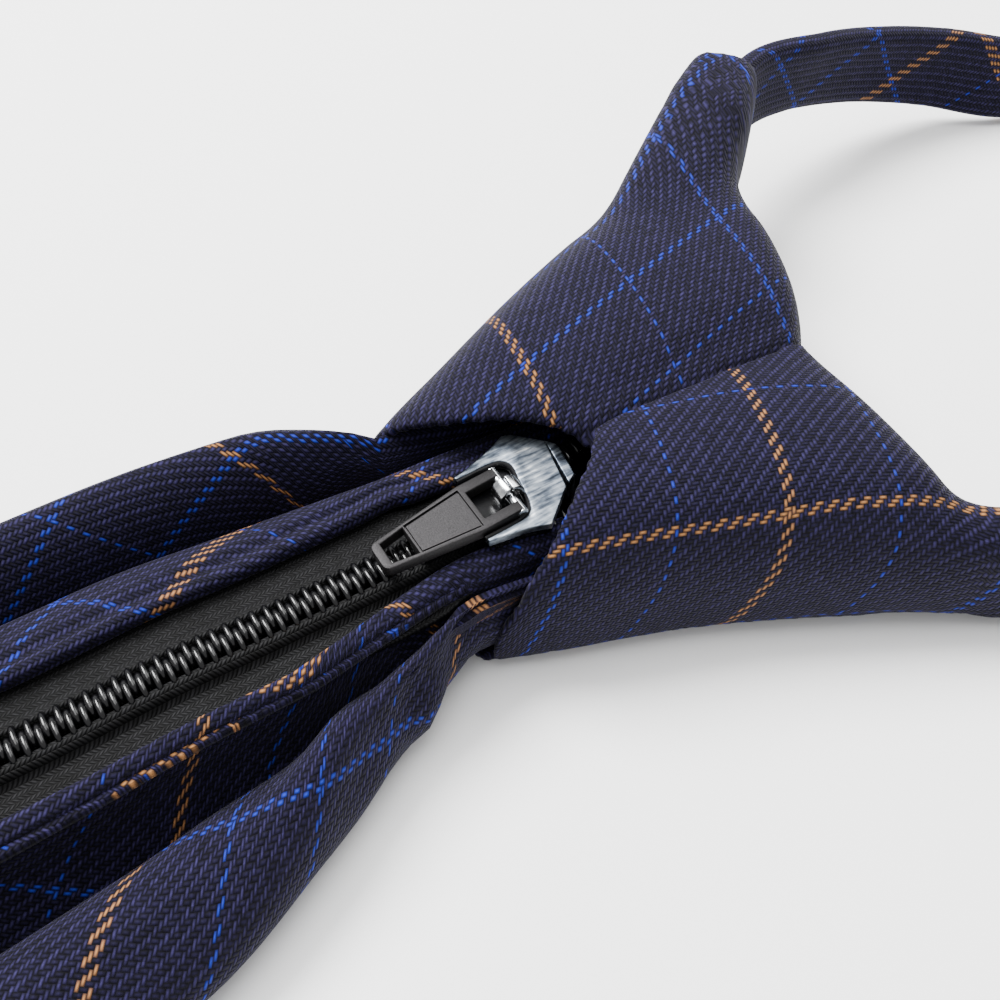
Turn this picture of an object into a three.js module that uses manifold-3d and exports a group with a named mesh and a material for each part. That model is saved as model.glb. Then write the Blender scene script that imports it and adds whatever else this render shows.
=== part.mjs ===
// Zipper tie lying face down: X to the right and Y towards the neck, seen from the back, Z up, in mm.
// The origin lies on the flat front face of the knot, under the slider.

import * as THREE from 'three';
import { mergeVertices } from 'three/addons/utils/BufferGeometryUtils.js';
import Module from 'manifold-3d';

const wasm = await Module();
wasm.setup();

// Cloth walls and the gap kept between pieces
const wrapWall = 1.5;
const wingWall = 1.1;
const bladeWall = 1.6;
const gap = 0.3;
const seamGap = 0.8;

// Knot: mouth below, rim towards the neck, a wing at each upper corner
const knotLength = 44;
const knotHalfWidth = 30;
const knotHeight = 19.5;
const mouthY = -12;
const lipHeight = 8;
const valleyX = -1.6;
const lipLeftReach = 12;
const lipRightReach = 8;
const lipApex = 17.6;
const wingWidth = 12.5;
const wingHeight = 18;
const wingRound = 0.5;

// Blade
const bladeLength = 440;
const bladeHalfWidth = 39;

// Zipper chain, tapes and cloth borders
const chainHeight = 10.8;
const chainLength = 285;
const tapeThickness = 1;
const tapeWidth = 6.4;
const tapeTuck = 0.9;
const coilWidth = 2.1;
const coilHeight = 1.8;
const chainParting = 0.3;
const chainBend = 0.8;
const borderThickness = 1.8;
const borderWidth = 7;
const borderOverlap = 1.1;
const borderEnd = 12;
const stopLength = 3;
const stopHeight = 2.2;

// Slider and pull
const sliderX = 0.2;
const sliderY = -4.4;
const sliderTurn = -5;
const sliderLength = 10.8;
const sliderHalfWidth = 5.9;
const plateThickness = 1.2;
const noseReach = 1.6;
const postHalfWidth = 1.3;
const postLength = 3;
const flangeThickness = 0.9;
const bedDepth = 0.7;
const pinRise = 0.4;
const pinY = -0.65;
const pinRadius = 0.5;
const bailWidth = 1.7;
const bailWall = 0.65;
const pullTurn = 5.8;
const pullLength = 13.5;
const pullWidth = 5.6;
const pullTipWidth = 3.1;
const pullThickness = 1.2;
const prongWidth = 1.1;
const prongLength = 3.4;
const tipFrame = 0.7;
const tipWindow = 2.5;
const panelDepth = 0.25;
const panelLength = 5.9;
const panelFrame = 0.45;

// Neck band
const bandWidth = 11.2;
const bandThickness = 2.4;
const loopHalfWidth = 41.8;
const loopReach = 135;

// Heights that follow from the chain
const tapeTop = chainHeight + tapeThickness;
const coilTop = tapeTop + gap + coilHeight;
const plateBottom = coilTop + gap;
const plateTop = plateBottom + plateThickness;
const lowerPlateTop = chainHeight - gap;
const lowerPlateBottom = lowerPlateTop - plateThickness;
const bladeFloor = wrapWall + gap;
const pinHeight = plateTop + pinRise;
const bedTop = plateTop - bedDepth;

const table = (columns, rows) => rows.map(
  (row) => Object.fromEntries(row.map((value, index) => [columns[index], value])),
);

// The tapes' height along the chain, from the mouth: at is a share of chainLength, level of chainHeight
const chainRows = table(['at', 'level'], [
  [-0.12, 1.00],
  [0.06, 1.00],
  [0.09, 1.03],
  [0.13, 0.98],
  [0.19, 1.00],
  [0.32, 0.88],
  [0.50, 0.60],
  [0.75, 0.47],
  [1.10, 0.46],
]);

// Blade sections: at is a share of bladeLength from the mouth, left and right of bladeHalfWidth, the lobes'
// and dips' heights and the seat under the chain of chainHeight, and floor of the knot's wall below it.
// Each crease's place is a share of its side's width.
const bladeRows = table(
  ['at', 'Left', 'Right', 'lobeLeft', 'lobeRight', 'creaseLeft', 'creaseRight', 'dipLeft', 'dipRight',
    'seat', 'floor'],
  [
    [-0.070, 0.30, 0.28, 0.74, 0.70, 0.60, 0.60, 0.00, 0.00, 0.72, 1.0],
    [-0.030, 0.28, 0.20, 0.86, 0.78, 0.70, 0.70, 0.00, 0.00, 0.78, 1.0],
    [0.000, 0.28, 0.145, 1.08, 0.78, 0.76, 0.80, 0.00, 0.05, 0.80, 1.0],
    [0.003, 0.44, 0.170, 1.36, 0.78, 0.68, 0.80, 0.08, 0.12, 0.84, 0.9],
    [0.014, 0.51, 0.250, 1.44, 0.74, 0.62, 0.80, 0.20, 0.42, 0.90, 0.5],
    [0.028, 0.60, 0.34, 1.48, 0.84, 0.58, 0.75, 0.35, 0.62, 0.94, 0.0],
    [0.050, 0.66, 0.46, 1.47, 0.90, 0.56, 0.58, 0.40, 0.63, 0.94, 0.0],
    [0.083, 0.68, 0.62, 1.40, 0.92, 0.56, 0.47, 0.40, 0.62, 0.94, 0.0],
    [0.150, 0.69, 0.68, 1.12, 0.86, 0.56, 0.52, 0.24, 0.34, 0.94, 0.0],
    [0.270, 0.73, 0.72, 0.68, 0.66, 0.52, 0.52, 0.06, 0.06, 0.94, 0.0],
    [0.500, 0.81, 0.81, 0.47, 0.47, 0.50, 0.50, 0.00, 0.00, 0.93, 0.0],
    [0.905, 1.00, 1.00, 0.44, 0.44, 0.50, 0.50, 0.00, 0.00, 0.93, 0.0],
    [0.920, 0.94, 0.94, 0.44, 0.44, 0.50, 0.50, 0.00, 0.00, 0.93, 0.0],
    [0.996, 0.09, 0.09, 0.42, 0.42, 0.50, 0.50, 0.00, 0.00, 0.90, 0.0],
    [1.000, 0.05, 0.05, 0.38, 0.38, 0.50, 0.50, 0.00, 0.00, 0.80, 0.0],
  ],
);

// Cloth borders beside the tapes: at is a share of chainLength from the mouth, width and clear (the inner
// edge's step aside) of borderWidth, and drop of the outer edge of chainHeight.
const borderColumns = ['at', 'width', 'drop', 'clear'];
const leftBorderRows = table(borderColumns, [
  [-0.04, 0.30, 0.02, 0.16],
  [0.00, 0.36, 0.08, 0.08],
  [0.02, 0.50, 0.14, 0.00],
  [0.07, 0.76, 0.20, 0.00],
  [0.13, 0.88, 0.20, 0.00],
  [0.30, 0.88, 0.16, 0.00],
  [0.50, 0.88, 0.12, 0.00],
  [1.10, 0.88, 0.11, 0.00],
]);
const rightBorderRows = table(borderColumns, [
  [0.001, 0.12, 0.14, 0.00],
  [0.03, 0.20, 0.40, 0.00],
  [0.07, 0.30, 0.54, 0.00],
  [0.13, 0.45, 0.54, 0.00],
  [0.24, 0.72, 0.32, 0.00],
  [0.42, 0.88, 0.14, 0.00],
  [1.10, 0.88, 0.11, 0.00],
]);

// Knot sections from the mouth to the rim: at is a share of knotLength, left and right of knotHalfWidth,
// the two pillows and the valley of knotHeight, and lift of knotLength by which the left side runs on.
const knotRows = table(['at', 'left', 'right', 'topLeft', 'topRight', 'valley', 'lift'], [
  [0.00, 0.46, 0.255, 0.83, 0.72, 0.78, 0.00],
  [0.12, 0.54, 0.335, 0.93, 0.95, 0.87, 0.00],
  [0.40, 0.78, 0.490, 1.00, 1.00, 0.91, 0.00],
  [0.68, 0.98, 0.690, 1.03, 1.00, 0.87, 0.04],
  [0.86, 1.11, 0.840, 1.02, 0.95, 0.85, 0.14],
  [0.96, 1.19, 0.920, 0.98, 0.86, 0.83, 0.24],
  [1.00, 1.21, 0.940, 0.82, 0.68, 0.66, 0.29],
  [1.02, 1.21, 0.940, 0.54, 0.45, 0.42, 0.30],
]);

// Wing centre lines: x is a share of knotHalfWidth, y of knotLength from the mouth, z of knotHeight, and
// width and height of the wing's own. The last row is the open end.
const wingColumns = ['x', 'y', 'z', 'width', 'height'];
const leftWingRows = table(wingColumns, [
  [-0.73, 0.86, 0.50, 0.95, 0.95],
  [-0.98, 1.11, 0.67, 1.00, 0.97],
  [-1.16, 1.28, 0.78, 0.94, 0.94],
  [-1.31, 1.41, 0.82, 0.72, 0.84],
]);
const rightWingRows = table(wingColumns, [
  [0.66, 0.86, 0.37, 0.62, 0.80],
  [0.86, 1.04, 0.37, 0.56, 0.80],
  [0.98, 1.18, 0.37, 0.50, 0.80],
  [1.07, 1.30, 0.37, 0.48, 0.80],
]);

// Neck band: x is a share of loopHalfWidth, y of loopReach from the rim, rise of bandWidth, lean in degrees
const bandRows = table(['x', 'y', 'rise', 'lean'], [
  [-0.660, 0.030, 0.66, 0],
  [-0.838, 0.105, 0.88, 2],
  [-0.966, 0.178, 0.88, 4],
  [-0.995, 0.250, 0.77, 12],
  [-1.000, 0.343, 0.52, 8],
  [-0.943, 0.433, 0.26, 0],
  [-0.833, 0.504, 0.06, -12],
  [-0.718, 0.585, 0.00, -8],
  [-0.598, 0.685, 0.00, 0],
  [-0.478, 0.785, 0.00, 0],
  [-0.371, 0.881, 0.00, 0],
  [-0.227, 0.963, 0.00, 0],
  [0.000, 1.000, 0.00, 0],
  [0.227, 0.963, 0.00, 0],
  [0.371, 0.881, 0.00, 0],
  [0.478, 0.785, 0.00, 0],
  [0.598, 0.685, 0.00, 0],
  [0.730, 0.585, 0.00, 0],
  [0.873, 0.481, 0.00, 0],
  [0.957, 0.370, 0.00, 0],
  [0.933, 0.267, 0.03, 0],
  [0.862, 0.178, 0.09, 0],
  [0.767, 0.100, 0.135, 0],
  [0.660, 0.030, 0.14, 0],
]);

// Value of one column of a table at a place along it, on a curve that never overshoots its rows
function columnAt(rows, key, at) {
  const last = rows.length - 1;
  if (at <= rows[0].at) return rows[0][key];
  if (at >= rows[last].at) return rows[last][key];
  const i = rows.findIndex((row) => row.at > at) - 1;
  const rate = (n) => (rows[n + 1][key] - rows[n][key]) / (rows[n + 1].at - rows[n].at);
  const slope = (n) => {
    if (n === 0) return rate(0);
    if (n === last) return rate(last - 1);
    const product = rate(n - 1) * rate(n);
    return product <= 0 ? 0 : (2 * product) / (rate(n - 1) + rate(n));
  };
  const span = rows[i + 1].at - rows[i].at;
  const t = (at - rows[i].at) / span;
  const fromStart = (1 + 2 * t) * (1 - t) ** 2 * rows[i][key] + t * (1 - t) ** 2 * span * slope(i);
  const fromEnd = t * t * (3 - 2 * t) * rows[i + 1][key] + t * t * (t - 1) * span * slope(i + 1);
  return fromStart + fromEnd;
}

const ease = (from, to, value) => THREE.MathUtils.smoothstep(value, from, to);

const stations = (from, to, count) => Array.from(
  { length: count + 1 },
  (_, i) => from + ((to - from) * i) / count,
);

// Closed solid through rings of equal length, with a flat cap at each end
function loft(rings) {
  const ringSize = rings[0].length;
  const positions = rings.flat().flatMap((point) => [point.x, point.y, point.z]);
  const faces = [];
  for (let r = 0; r < rings.length - 1; r += 1) {
    for (let i = 0; i < ringSize; i += 1) {
      const a = r * ringSize + i;
      const b = r * ringSize + ((i + 1) % ringSize);
      faces.push(a, b, b + ringSize, a, b + ringSize, a + ringSize);
    }
  }
  const cap = (ring, start, reversed) => {
    const middle = ring.reduce((sum, p) => sum.add(p), new THREE.Vector3()).divideScalar(ringSize);
    const normal = new THREE.Vector3();
    ring.forEach((p, i) => {
      const q = ring[(i + 1) % ringSize];
      normal.add(p.clone().sub(middle).cross(q.clone().sub(middle)));
    });
    normal.normalize();
    const across = new THREE.Vector3().subVectors(ring[0], middle);
    across.addScaledVector(normal, -across.dot(normal)).normalize();
    const up = new THREE.Vector3().crossVectors(normal, across);
    const flat = ring.map((p) => {
      const offset = new THREE.Vector3().subVectors(p, middle);
      return new THREE.Vector2(offset.dot(across), offset.dot(up));
    });
    THREE.ShapeUtils.triangulateShape(flat, []).forEach(([a, b, c]) => {
      faces.push(...(reversed ? [start + c, start + b, start + a] : [start + a, start + b, start + c]));
    });
  };
  cap(rings[0], 0, true);
  cap(rings[rings.length - 1], (rings.length - 1) * ringSize, false);
  const geometry = new THREE.BufferGeometry();
  geometry.setAttribute('position', new THREE.Float32BufferAttribute(positions, 3));
  geometry.setIndex(faces);
  return faceOut(geometry);
}

// Turns a closed geometry's faces outwards
function faceOut(geometry) {
  const position = geometry.attributes.position;
  const index = geometry.index;
  const corner = (i) => new THREE.Vector3().fromBufferAttribute(position, index.getX(i));
  let volume = 0;
  for (let i = 0; i < index.count; i += 3) {
    volume += corner(i).dot(corner(i + 1).cross(corner(i + 2)));
  }
  if (volume < 0) {
    for (let i = 0; i < index.count; i += 3) {
      const first = index.getX(i);
      index.setX(i, index.getX(i + 2));
      index.setX(i + 2, first);
    }
  }
  return geometry;
}

// A closed geometry as a solid for joining and cutting, and back
function solidOf(geometry) {
  const bare = geometry.clone();
  bare.deleteAttribute('normal');
  bare.deleteAttribute('uv');
  const merged = mergeVertices(bare, 1e-4);
  const vertProperties = new Float32Array(merged.attributes.position.array);
  const triVerts = new Uint32Array(merged.index.array);
  return new wasm.Manifold(new wasm.Mesh({ numProp: 3, vertProperties, triVerts }));
}

function geometryOf(solid) {
  const mesh = solid.getMesh();
  const geometry = new THREE.BufferGeometry();
  geometry.setAttribute('position', new THREE.Float32BufferAttribute(mesh.vertProperties, 3));
  geometry.setIndex(new THREE.Uint32BufferAttribute(mesh.triVerts, 1));
  return geometry;
}

// Upright prism over an outline in X and Y
function prism(points, bottom, top) {
  const shape = new THREE.Shape(points.map(([x, y]) => new THREE.Vector2(x, y)));
  const geometry = new THREE.ExtrudeGeometry(shape, { depth: top - bottom, bevelEnabled: false });
  return geometry.translate(0, 0, bottom);
}

const block = (x0, x1, y0, y1, z0, z1) => prism([[x0, y0], [x1, y0], [x1, y1], [x0, y1]], z0, z1);

// Smooth closed ring at one Y through corner points in X and Z, kept above a floor
function ringThrough(corners, count, floor, y) {
  const curve = new THREE.CatmullRomCurve3(
    corners.map(([x, z]) => new THREE.Vector3(x, y, z)),
    true,
    'centripetal',
  );
  const ring = curve.getPoints(count).slice(0, count);
  ring.forEach((point) => {
    point.z = Math.max(point.z, floor);
  });
  return ring;
}

const chainAt = (y) => (mouthY - y) / chainLength;
const tapeBottomAt = (y) => chainHeight * columnAt(chainRows, 'level', chainAt(y));

// Blade

function bladeSection(y, wall) {
  const at = (mouthY - y) / bladeLength;
  const value = (key) => columnAt(bladeRows, key, at);
  const floor = value('floor') * bladeFloor + wall;
  const seat = value('seat') * tapeBottomAt(y) - wall;
  const side = (name) => {
    const width = value(name) * bladeHalfWidth - wall;
    const crease = width * value(`crease${name}`);
    const lobe = Math.max(value(`lobe${name}`) * chainHeight - wall, seat * 0.94);
    const height = lobe - floor;
    const roll = Math.min(0.45 * height, 0.4 * width);
    return [
      [crease * 0.5, seat],
      [crease, Math.max(seat - value(`dip${name}`) * chainHeight, floor + 0.3 * height)],
      [crease + (width - crease) * 0.5, lobe],
      [width - roll * 0.3, floor + height * 0.76],
      [width, floor + height * 0.45],
      [width - roll * 0.3, floor + height * 0.13],
      [width - roll, floor],
      [(width - roll) * 0.5, floor],
    ];
  };
  const corners = [
    [0, seat],
    ...side('Right'),
    [0, floor],
    ...side('Left').map(([x, z]) => [-x, z]).reverse(),
  ];
  return ringThrough(corners, 34, floor, y);
}

function makeBlade() {
  const top = mouthY - bladeRows[0].at * bladeLength;
  const near = mouthY - 0.15 * bladeLength;
  const shoulder = mouthY - 0.905 * bladeLength;
  const tip = mouthY - bladeLength;
  const places = [
    ...stations(top, mouthY, 5),
    mouthY - bladeWall,
    ...stations(mouthY, near, 12).slice(1),
    ...stations(near, shoulder, 8).slice(1),
    ...stations(shoulder, tip, 4).slice(1),
  ];
  const outer = solidOf(loft(places.map((y) => bladeSection(y, 0))));
  const hem = tip + 5 * bladeWall;
  const innerPlaces = [top + bladeWall, ...places.slice(1).filter((y) => y > hem + bladeWall), hem];
  const inner = solidOf(loft(innerPlaces.map((y) => bladeSection(y, bladeWall))));
  const seamY = [hem + bladeWall, top + bladeWall];
  const seam = block(-seamGap / 2, seamGap / 2, ...seamY, bladeFloor + bladeWall, knotHeight);
  return geometryOf(outer.subtract(inner).subtract(solidOf(seam)));
}

// Knot wrap

function knotSection(row, wall) {
  const left = row.left * knotHalfWidth - wall;
  const right = row.right * knotHalfWidth - wall;
  const valley = row.valley * knotHeight - wall;
  const side = (reach, share) => {
    const top = share * knotHeight - wall;
    return [
      [reach * 0.18, (valley + 3 * top) / 4],
      [reach * 0.45, top],
      [reach * 0.78, wall + (top - wall) * 0.92],
      [reach * 0.96, wall + (top - wall) * 0.66],
      [reach, wall + (top - wall) * 0.38],
      [reach * 0.97, wall + (top - wall) * 0.12],
      [reach * 0.88, wall],
      [reach * 0.4, wall],
    ];
  };
  const corners = [
    [valleyX, valley],
    ...side(right - valleyX, row.topRight).map(([x, z]) => [valleyX + x, z]),
    ...side(left + valleyX, row.topLeft).map(([x, z]) => [valleyX - x, z]).reverse(),
  ];
  const y = mouthY + row.at * knotLength;
  const ring = ringThrough(corners, 34, wall, y);
  ring.forEach((point) => {
    const leftShare = THREE.MathUtils.clamp((valleyX - point.x) / left, 0, 1);
    point.y += row.lift * knotLength * leftShare ** 0.65;
  });
  return ring;
}

function knotPlaces() {
  const count = 9;
  const last = knotRows[knotRows.length - 1].at;
  const keys = Object.keys(knotRows[0]);
  const steps = [...stations(0, 0.96, count), 1.0, last];
  return steps.map((at) => Object.fromEntries(
    keys.map((key) => [key, key === 'at' ? at : columnAt(knotRows, key, at)]),
  ));
}

// Rounded box section along a wing's centre line, run on past its first and last rows by the two reaches
function wingLoft(rows, wall, startReach, endReach) {
  const centres = rows.map((row) => new THREE.Vector3(
    row.x * knotHalfWidth,
    mouthY + row.y * knotLength,
    row.z * knotHeight,
  ));
  const ends = centres.length - 1;
  const inward = centres[0].clone().sub(centres[1]).normalize();
  const outward = centres[ends].clone().sub(centres[ends - 1]).normalize();
  centres[0].addScaledVector(inward, startReach);
  centres[ends].addScaledVector(outward, endReach);
  const line = new THREE.CatmullRomCurve3(centres);
  const rings = stations(0, 1, 6).map((t) => {
    const centre = line.getPoint(t);
    const along = line.getTangent(t).setZ(0).normalize();
    const across = new THREE.Vector3(along.y, -along.x, 0);
    const place = t * ends;
    const i = Math.min(Math.floor(place), ends - 1);
    const mix = (key) => THREE.MathUtils.lerp(rows[i][key], rows[i + 1][key], place - i);
    const halfWidth = (mix('width') * wingWidth) / 2 - wall;
    const halfHeight = (mix('height') * wingHeight) / 2 - wall;
    const sides = 20;
    return stations(0, 2 * Math.PI, sides).slice(0, sides).map((angle) => {
      const round = (value) => Math.sign(value) * Math.abs(value) ** wingRound;
      const point = centre.clone().addScaledVector(across, halfWidth * round(Math.cos(angle)));
      point.z = Math.max(centre.z + halfHeight * round(Math.sin(angle)), wall);
      return point;
    });
  });
  return loft(rings);
}

function makeKnot() {
  const places = knotPlaces();
  const body = solidOf(loft(places.map((row) => knotSection(row, 0))));
  const hollowRows = places.filter((row) => row.at < 0.9);
  const first = { ...hollowRows[0], at: hollowRows[0].at - gap / knotLength };
  const wallAt = (row) => (row.at > 0.8 ? 2 * wrapWall : wrapWall);
  const hollow = solidOf(loft([first, ...hollowRows].map((row) => knotSection(row, wallAt(row)))));
  const wings = [leftWingRows, rightWingRows];
  const outside = wings.reduce((sum, rows) => sum.add(solidOf(wingLoft(rows, 0, wrapWall, 0))), body);
  const inside = wings.reduce((sum, rows) => sum.add(solidOf(wingLoft(rows, wingWall, 0, gap))), hollow);
  const mouth = prism(
    [
      [-2 * lipLeftReach, mouthY - lipApex],
      [2 * lipRightReach, mouthY - lipApex],
      [lipRightReach, mouthY],
      [valleyX, mouthY + lipApex],
      [-lipLeftReach, mouthY],
    ],
    lipHeight,
    2 * knotHeight,
  );
  return geometryOf(outside.subtract(inside).subtract(solidOf(mouth)));
}

// Zipper

// How far each half of the chain stands off the centre line where it parts inside the slider
function partingAt(y) {
  const post = postHalfWidth + 3 * gap;
  const opened = ease(sliderY - 0.8, sliderY + 2.4, y);
  const fanned = ease(sliderY + 5, sliderY + 12, y);
  return chainParting / 2 + (post - chainParting / 2) * opened + 1.5 * fanned;
}

function stripPlaces(from, to) {
  const near = mouthY - 0.15 * bladeLength;
  const inKnot = stations(from, mouthY, 7).slice(1, -1).filter((y) => y < from);
  const below = [...stations(mouthY, near, 11), ...stations(near, to, 9).slice(1)];
  return [from, ...inKnot, ...below.filter((y) => y < from)];
}

// The chain bends aside inside the knot, as the slider does
const chainShift = (y) => chainBend * ease(mouthY - 1, sliderY + 8.4, y);

// Strip of a closed section that runs beside the chain on one side, -1 left and 1 right
function besideChain(side, places, sectionAt) {
  return loft(places.map(
    (y) => sectionAt(y).map(([x, z]) => new THREE.Vector3(side * x + chainShift(y), y, z)),
  ));
}

const stripEndY = mouthY - chainLength - borderEnd;

function makeTape(side) {
  const places = stripPlaces(sliderY + 12, stripEndY + 3 * gap);
  return besideChain(side, places, (y) => {
    const inner = partingAt(y);
    const outer = chainParting / 2 + tapeWidth - tapeTuck * ease(mouthY - 4, mouthY, y);
    const bottom = tapeBottomAt(y);
    const top = bottom + tapeThickness;
    return [[inner, bottom], [outer, bottom], [outer, top], [inner, top]];
  });
}

function makeCoil(side) {
  const places = stripPlaces(sliderY + 12, mouthY - chainLength);
  return besideChain(side, places, (y) => {
    const centreX = partingAt(y) + coilWidth / 2;
    const centreZ = tapeBottomAt(y) + tapeThickness + gap + coilHeight / 2;
    return stations(0, 2 * Math.PI, 8).slice(0, 8).map((angle) => [
      centreX + (coilWidth / 2) * Math.cos(angle),
      centreZ + (coilHeight / 2) * Math.sin(angle),
    ]);
  });
}

// Cloth border: lies on the tape's edge and falls away to its outer edge
function makeBorder(side, rows, topY) {
  const seat = chainParting / 2 + tapeWidth + gap;
  const stopY = stripEndY + borderEnd - stopLength - 2 * gap;
  const closedY = stripEndY + borderEnd / 4;
  const places = [...stripPlaces(topY, stopY), stripEndY + borderEnd / 2, closedY, stripEndY];
  return besideChain(side, places, (y) => {
    const at = chainAt(y);
    const apart = (seat - borderOverlap - seamGap / 2) * ease(closedY, stopY, y);
    const inner = seamGap / 2 + apart + columnAt(rows, 'clear', at) * borderWidth;
    const outer = seat + columnAt(rows, 'width', at) * borderWidth;
    const drop = columnAt(rows, 'drop', at) * chainHeight;
    const low = tapeBottomAt(y) + tapeThickness + gap;
    const high = low + borderThickness;
    const edge = borderThickness / 4;
    const thin = borderThickness * 0.9;
    return [
      [inner, low + edge],
      [inner + edge, low],
      [seat, low],
      [outer - edge, low - drop],
      [outer, low - drop + edge],
      [outer + edge, low - drop + thin],
      [seat + 2 * edge, high - edge / 2],
      [inner + edge, high],
      [inner, high - edge],
    ];
  });
}

function makeStop() {
  const y = mouthY - chainLength - gap;
  const bottom = tapeBottomAt(y) + tapeThickness + gap;
  const halfWidth = chainParting / 2 + coilWidth + gap;
  const corner = stopHeight / 4;
  const section = [
    [-halfWidth, bottom],
    [halfWidth, bottom],
    [halfWidth, bottom + stopHeight - corner],
    [halfWidth - corner, bottom + stopHeight],
    [corner - halfWidth, bottom + stopHeight],
    [-halfWidth, bottom + stopHeight - corner],
  ];
  return loft([y, y - stopLength].map((place) => section.map(([x, z]) => new THREE.Vector3(x, place, z))));
}

// Slider, drawn about the middle of its plates with its nose towards the knot

function plateShape(halfWidth, length, nose) {
  const tailY = -length * 0.4;
  const wideY = length * 0.2;
  const noseY = length * 0.6 + nose;
  const shape = new THREE.Shape();
  shape.moveTo(-halfWidth * 0.6, tailY);
  shape.lineTo(halfWidth * 0.6, tailY);
  shape.quadraticCurveTo(halfWidth * 0.66, wideY * 0.2, halfWidth, wideY);
  shape.lineTo(halfWidth * 0.95, wideY * 1.6);
  shape.lineTo(halfWidth * 0.5, noseY);
  shape.lineTo(-halfWidth * 0.5, noseY);
  shape.lineTo(-halfWidth * 0.95, wideY * 1.6);
  shape.lineTo(-halfWidth, wideY);
  shape.quadraticCurveTo(-halfWidth * 0.66, wideY * 0.2, -halfWidth * 0.6, tailY);
  return shape;
}

function extruded(shape, bottom, top) {
  const settings = { depth: top - bottom, bevelEnabled: false, curveSegments: 5 };
  return new THREE.ExtrudeGeometry(shape, settings).translate(0, 0, bottom);
}

function makeSliderBody() {
  const upper = extruded(plateShape(sliderHalfWidth, sliderLength, 0), plateBottom, plateTop);
  const lowerShape = plateShape(sliderHalfWidth * 0.9, sliderLength, noseReach);
  const lower = extruded(lowerShape, lowerPlateBottom, lowerPlateTop);
  const postY = sliderLength * 0.6 - postLength;
  const post = prism(
    [[0, postY - postHalfWidth], [postHalfWidth, postY], [postHalfWidth, postY + postLength],
      [-postHalfWidth, postY + postLength], [-postHalfWidth, postY]],
    lowerPlateTop - plateThickness / 2,
    plateBottom + plateThickness / 2,
  );
  const flangeX = chainParting / 2 + coilWidth + 3 * gap;
  const flanges = [-1, 1].map((side) => {
    const middle = side * (flangeX + flangeThickness / 2);
    const acrossX = [middle - flangeThickness / 2, middle + flangeThickness / 2];
    const alongY = [-sliderLength * 0.38, -sliderLength * 0.08];
    return block(...acrossX, ...alongY, tapeTop + gap, plateTop - plateThickness / 2);
  });
  const parts = [lower, post, ...flanges].map(solidOf);
  const bedHalf = pullWidth / 2 + 2 * gap;
  const bedEnd = pinY + pinRadius + bailWall + 2 * gap;
  const bed = block(-bedHalf, bedHalf, -sliderLength, bedEnd, bedTop, plateTop + plateThickness);
  const joined = parts.reduce((sum, solid) => sum.add(solid), solidOf(upper));
  return geometryOf(joined.subtract(solidOf(bed)));
}

// Arch that stands on the upper plate round the pull's pin
function makeBail() {
  const inner = pinRadius + gap;
  const outer = inner + bailWall;
  const foot = bedTop + gap;
  const shape = new THREE.Shape();
  shape.moveTo(-outer, foot);
  shape.absarc(0, pinHeight, outer, Math.PI, 0, true);
  shape.lineTo(outer, foot);
  shape.lineTo(inner, foot);
  shape.lineTo(inner, pinHeight);
  shape.absarc(0, pinHeight, inner, 0, Math.PI, false);
  shape.lineTo(-inner, foot);
  const settings = { depth: bailWidth, bevelEnabled: false, curveSegments: 6 };
  const geometry = new THREE.ExtrudeGeometry(shape, settings);
  geometry.applyMatrix4(new THREE.Matrix4().makeBasis(
    new THREE.Vector3(0, 1, 0),
    new THREE.Vector3(0, 0, 1),
    new THREE.Vector3(1, 0, 0),
  ));
  return geometry.translate(-bailWidth / 2, pinY, 0);
}

// Pull, drawn flat about its pin, which lies along X, with its tip towards -Y
function makePull() {
  const outline = new THREE.Shape();
  const half = pullWidth / 2;
  const tipHalf = pullTipWidth / 2;
  const round = pinRadius * 0.7;
  const taperY = -prongLength - 0.2;
  outline.moveTo(-half, taperY);
  outline.lineTo(-tipHalf, -pullLength + tipFrame);
  outline.quadraticCurveTo(-tipHalf, -pullLength, -tipHalf + tipFrame, -pullLength);
  outline.lineTo(tipHalf - tipFrame, -pullLength);
  outline.quadraticCurveTo(tipHalf, -pullLength, tipHalf, -pullLength + tipFrame);
  outline.lineTo(half, taperY);
  outline.lineTo(half, round);
  outline.lineTo(half - prongWidth, round);
  outline.lineTo(half - prongWidth, -prongLength);
  outline.lineTo(prongWidth - half, -prongLength);
  outline.lineTo(prongWidth - half, round);
  outline.lineTo(-half, round);
  const window = new THREE.Path();
  const windowHalf = tipHalf - tipFrame * 0.8;
  const windowY = -pullLength + tipFrame * 1.3;
  window.moveTo(-windowHalf, windowY);
  window.lineTo(windowHalf, windowY);
  window.lineTo(windowHalf, windowY + tipWindow);
  window.lineTo(-windowHalf, windowY + tipWindow);
  outline.holes.push(window);
  const body = solidOf(extruded(outline, -pullThickness / 2, pullThickness / 2));
  const panelY = windowY + tipWindow + panelFrame;
  const edgeAt = (y) => THREE.MathUtils.mapLinear(y, taperY, -pullLength, half, tipHalf);
  const panelWide = (y) => edgeAt(y) - panelFrame;
  const panel = prism(
    [
      [-panelWide(panelY), panelY],
      [panelWide(panelY), panelY],
      [panelWide(panelY + panelLength), panelY + panelLength],
      [-panelWide(panelY + panelLength), panelY + panelLength],
    ],
    pullThickness / 2 - panelDepth,
    pullThickness,
  );
  const pin = new THREE.CylinderGeometry(pinRadius, pinRadius, pullWidth + gap, 12).rotateZ(Math.PI / 2);
  return geometryOf(body.add(solidOf(pin)).subtract(solidOf(panel)));
}

// The pull's fall from its pin to the tip, which rests on the chain
const pullTipRest = coilTop + gap + pullThickness / 2;
const pullTilt = Math.asin((pinHeight - pullTipRest) / pullLength);

// Neck band

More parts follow.
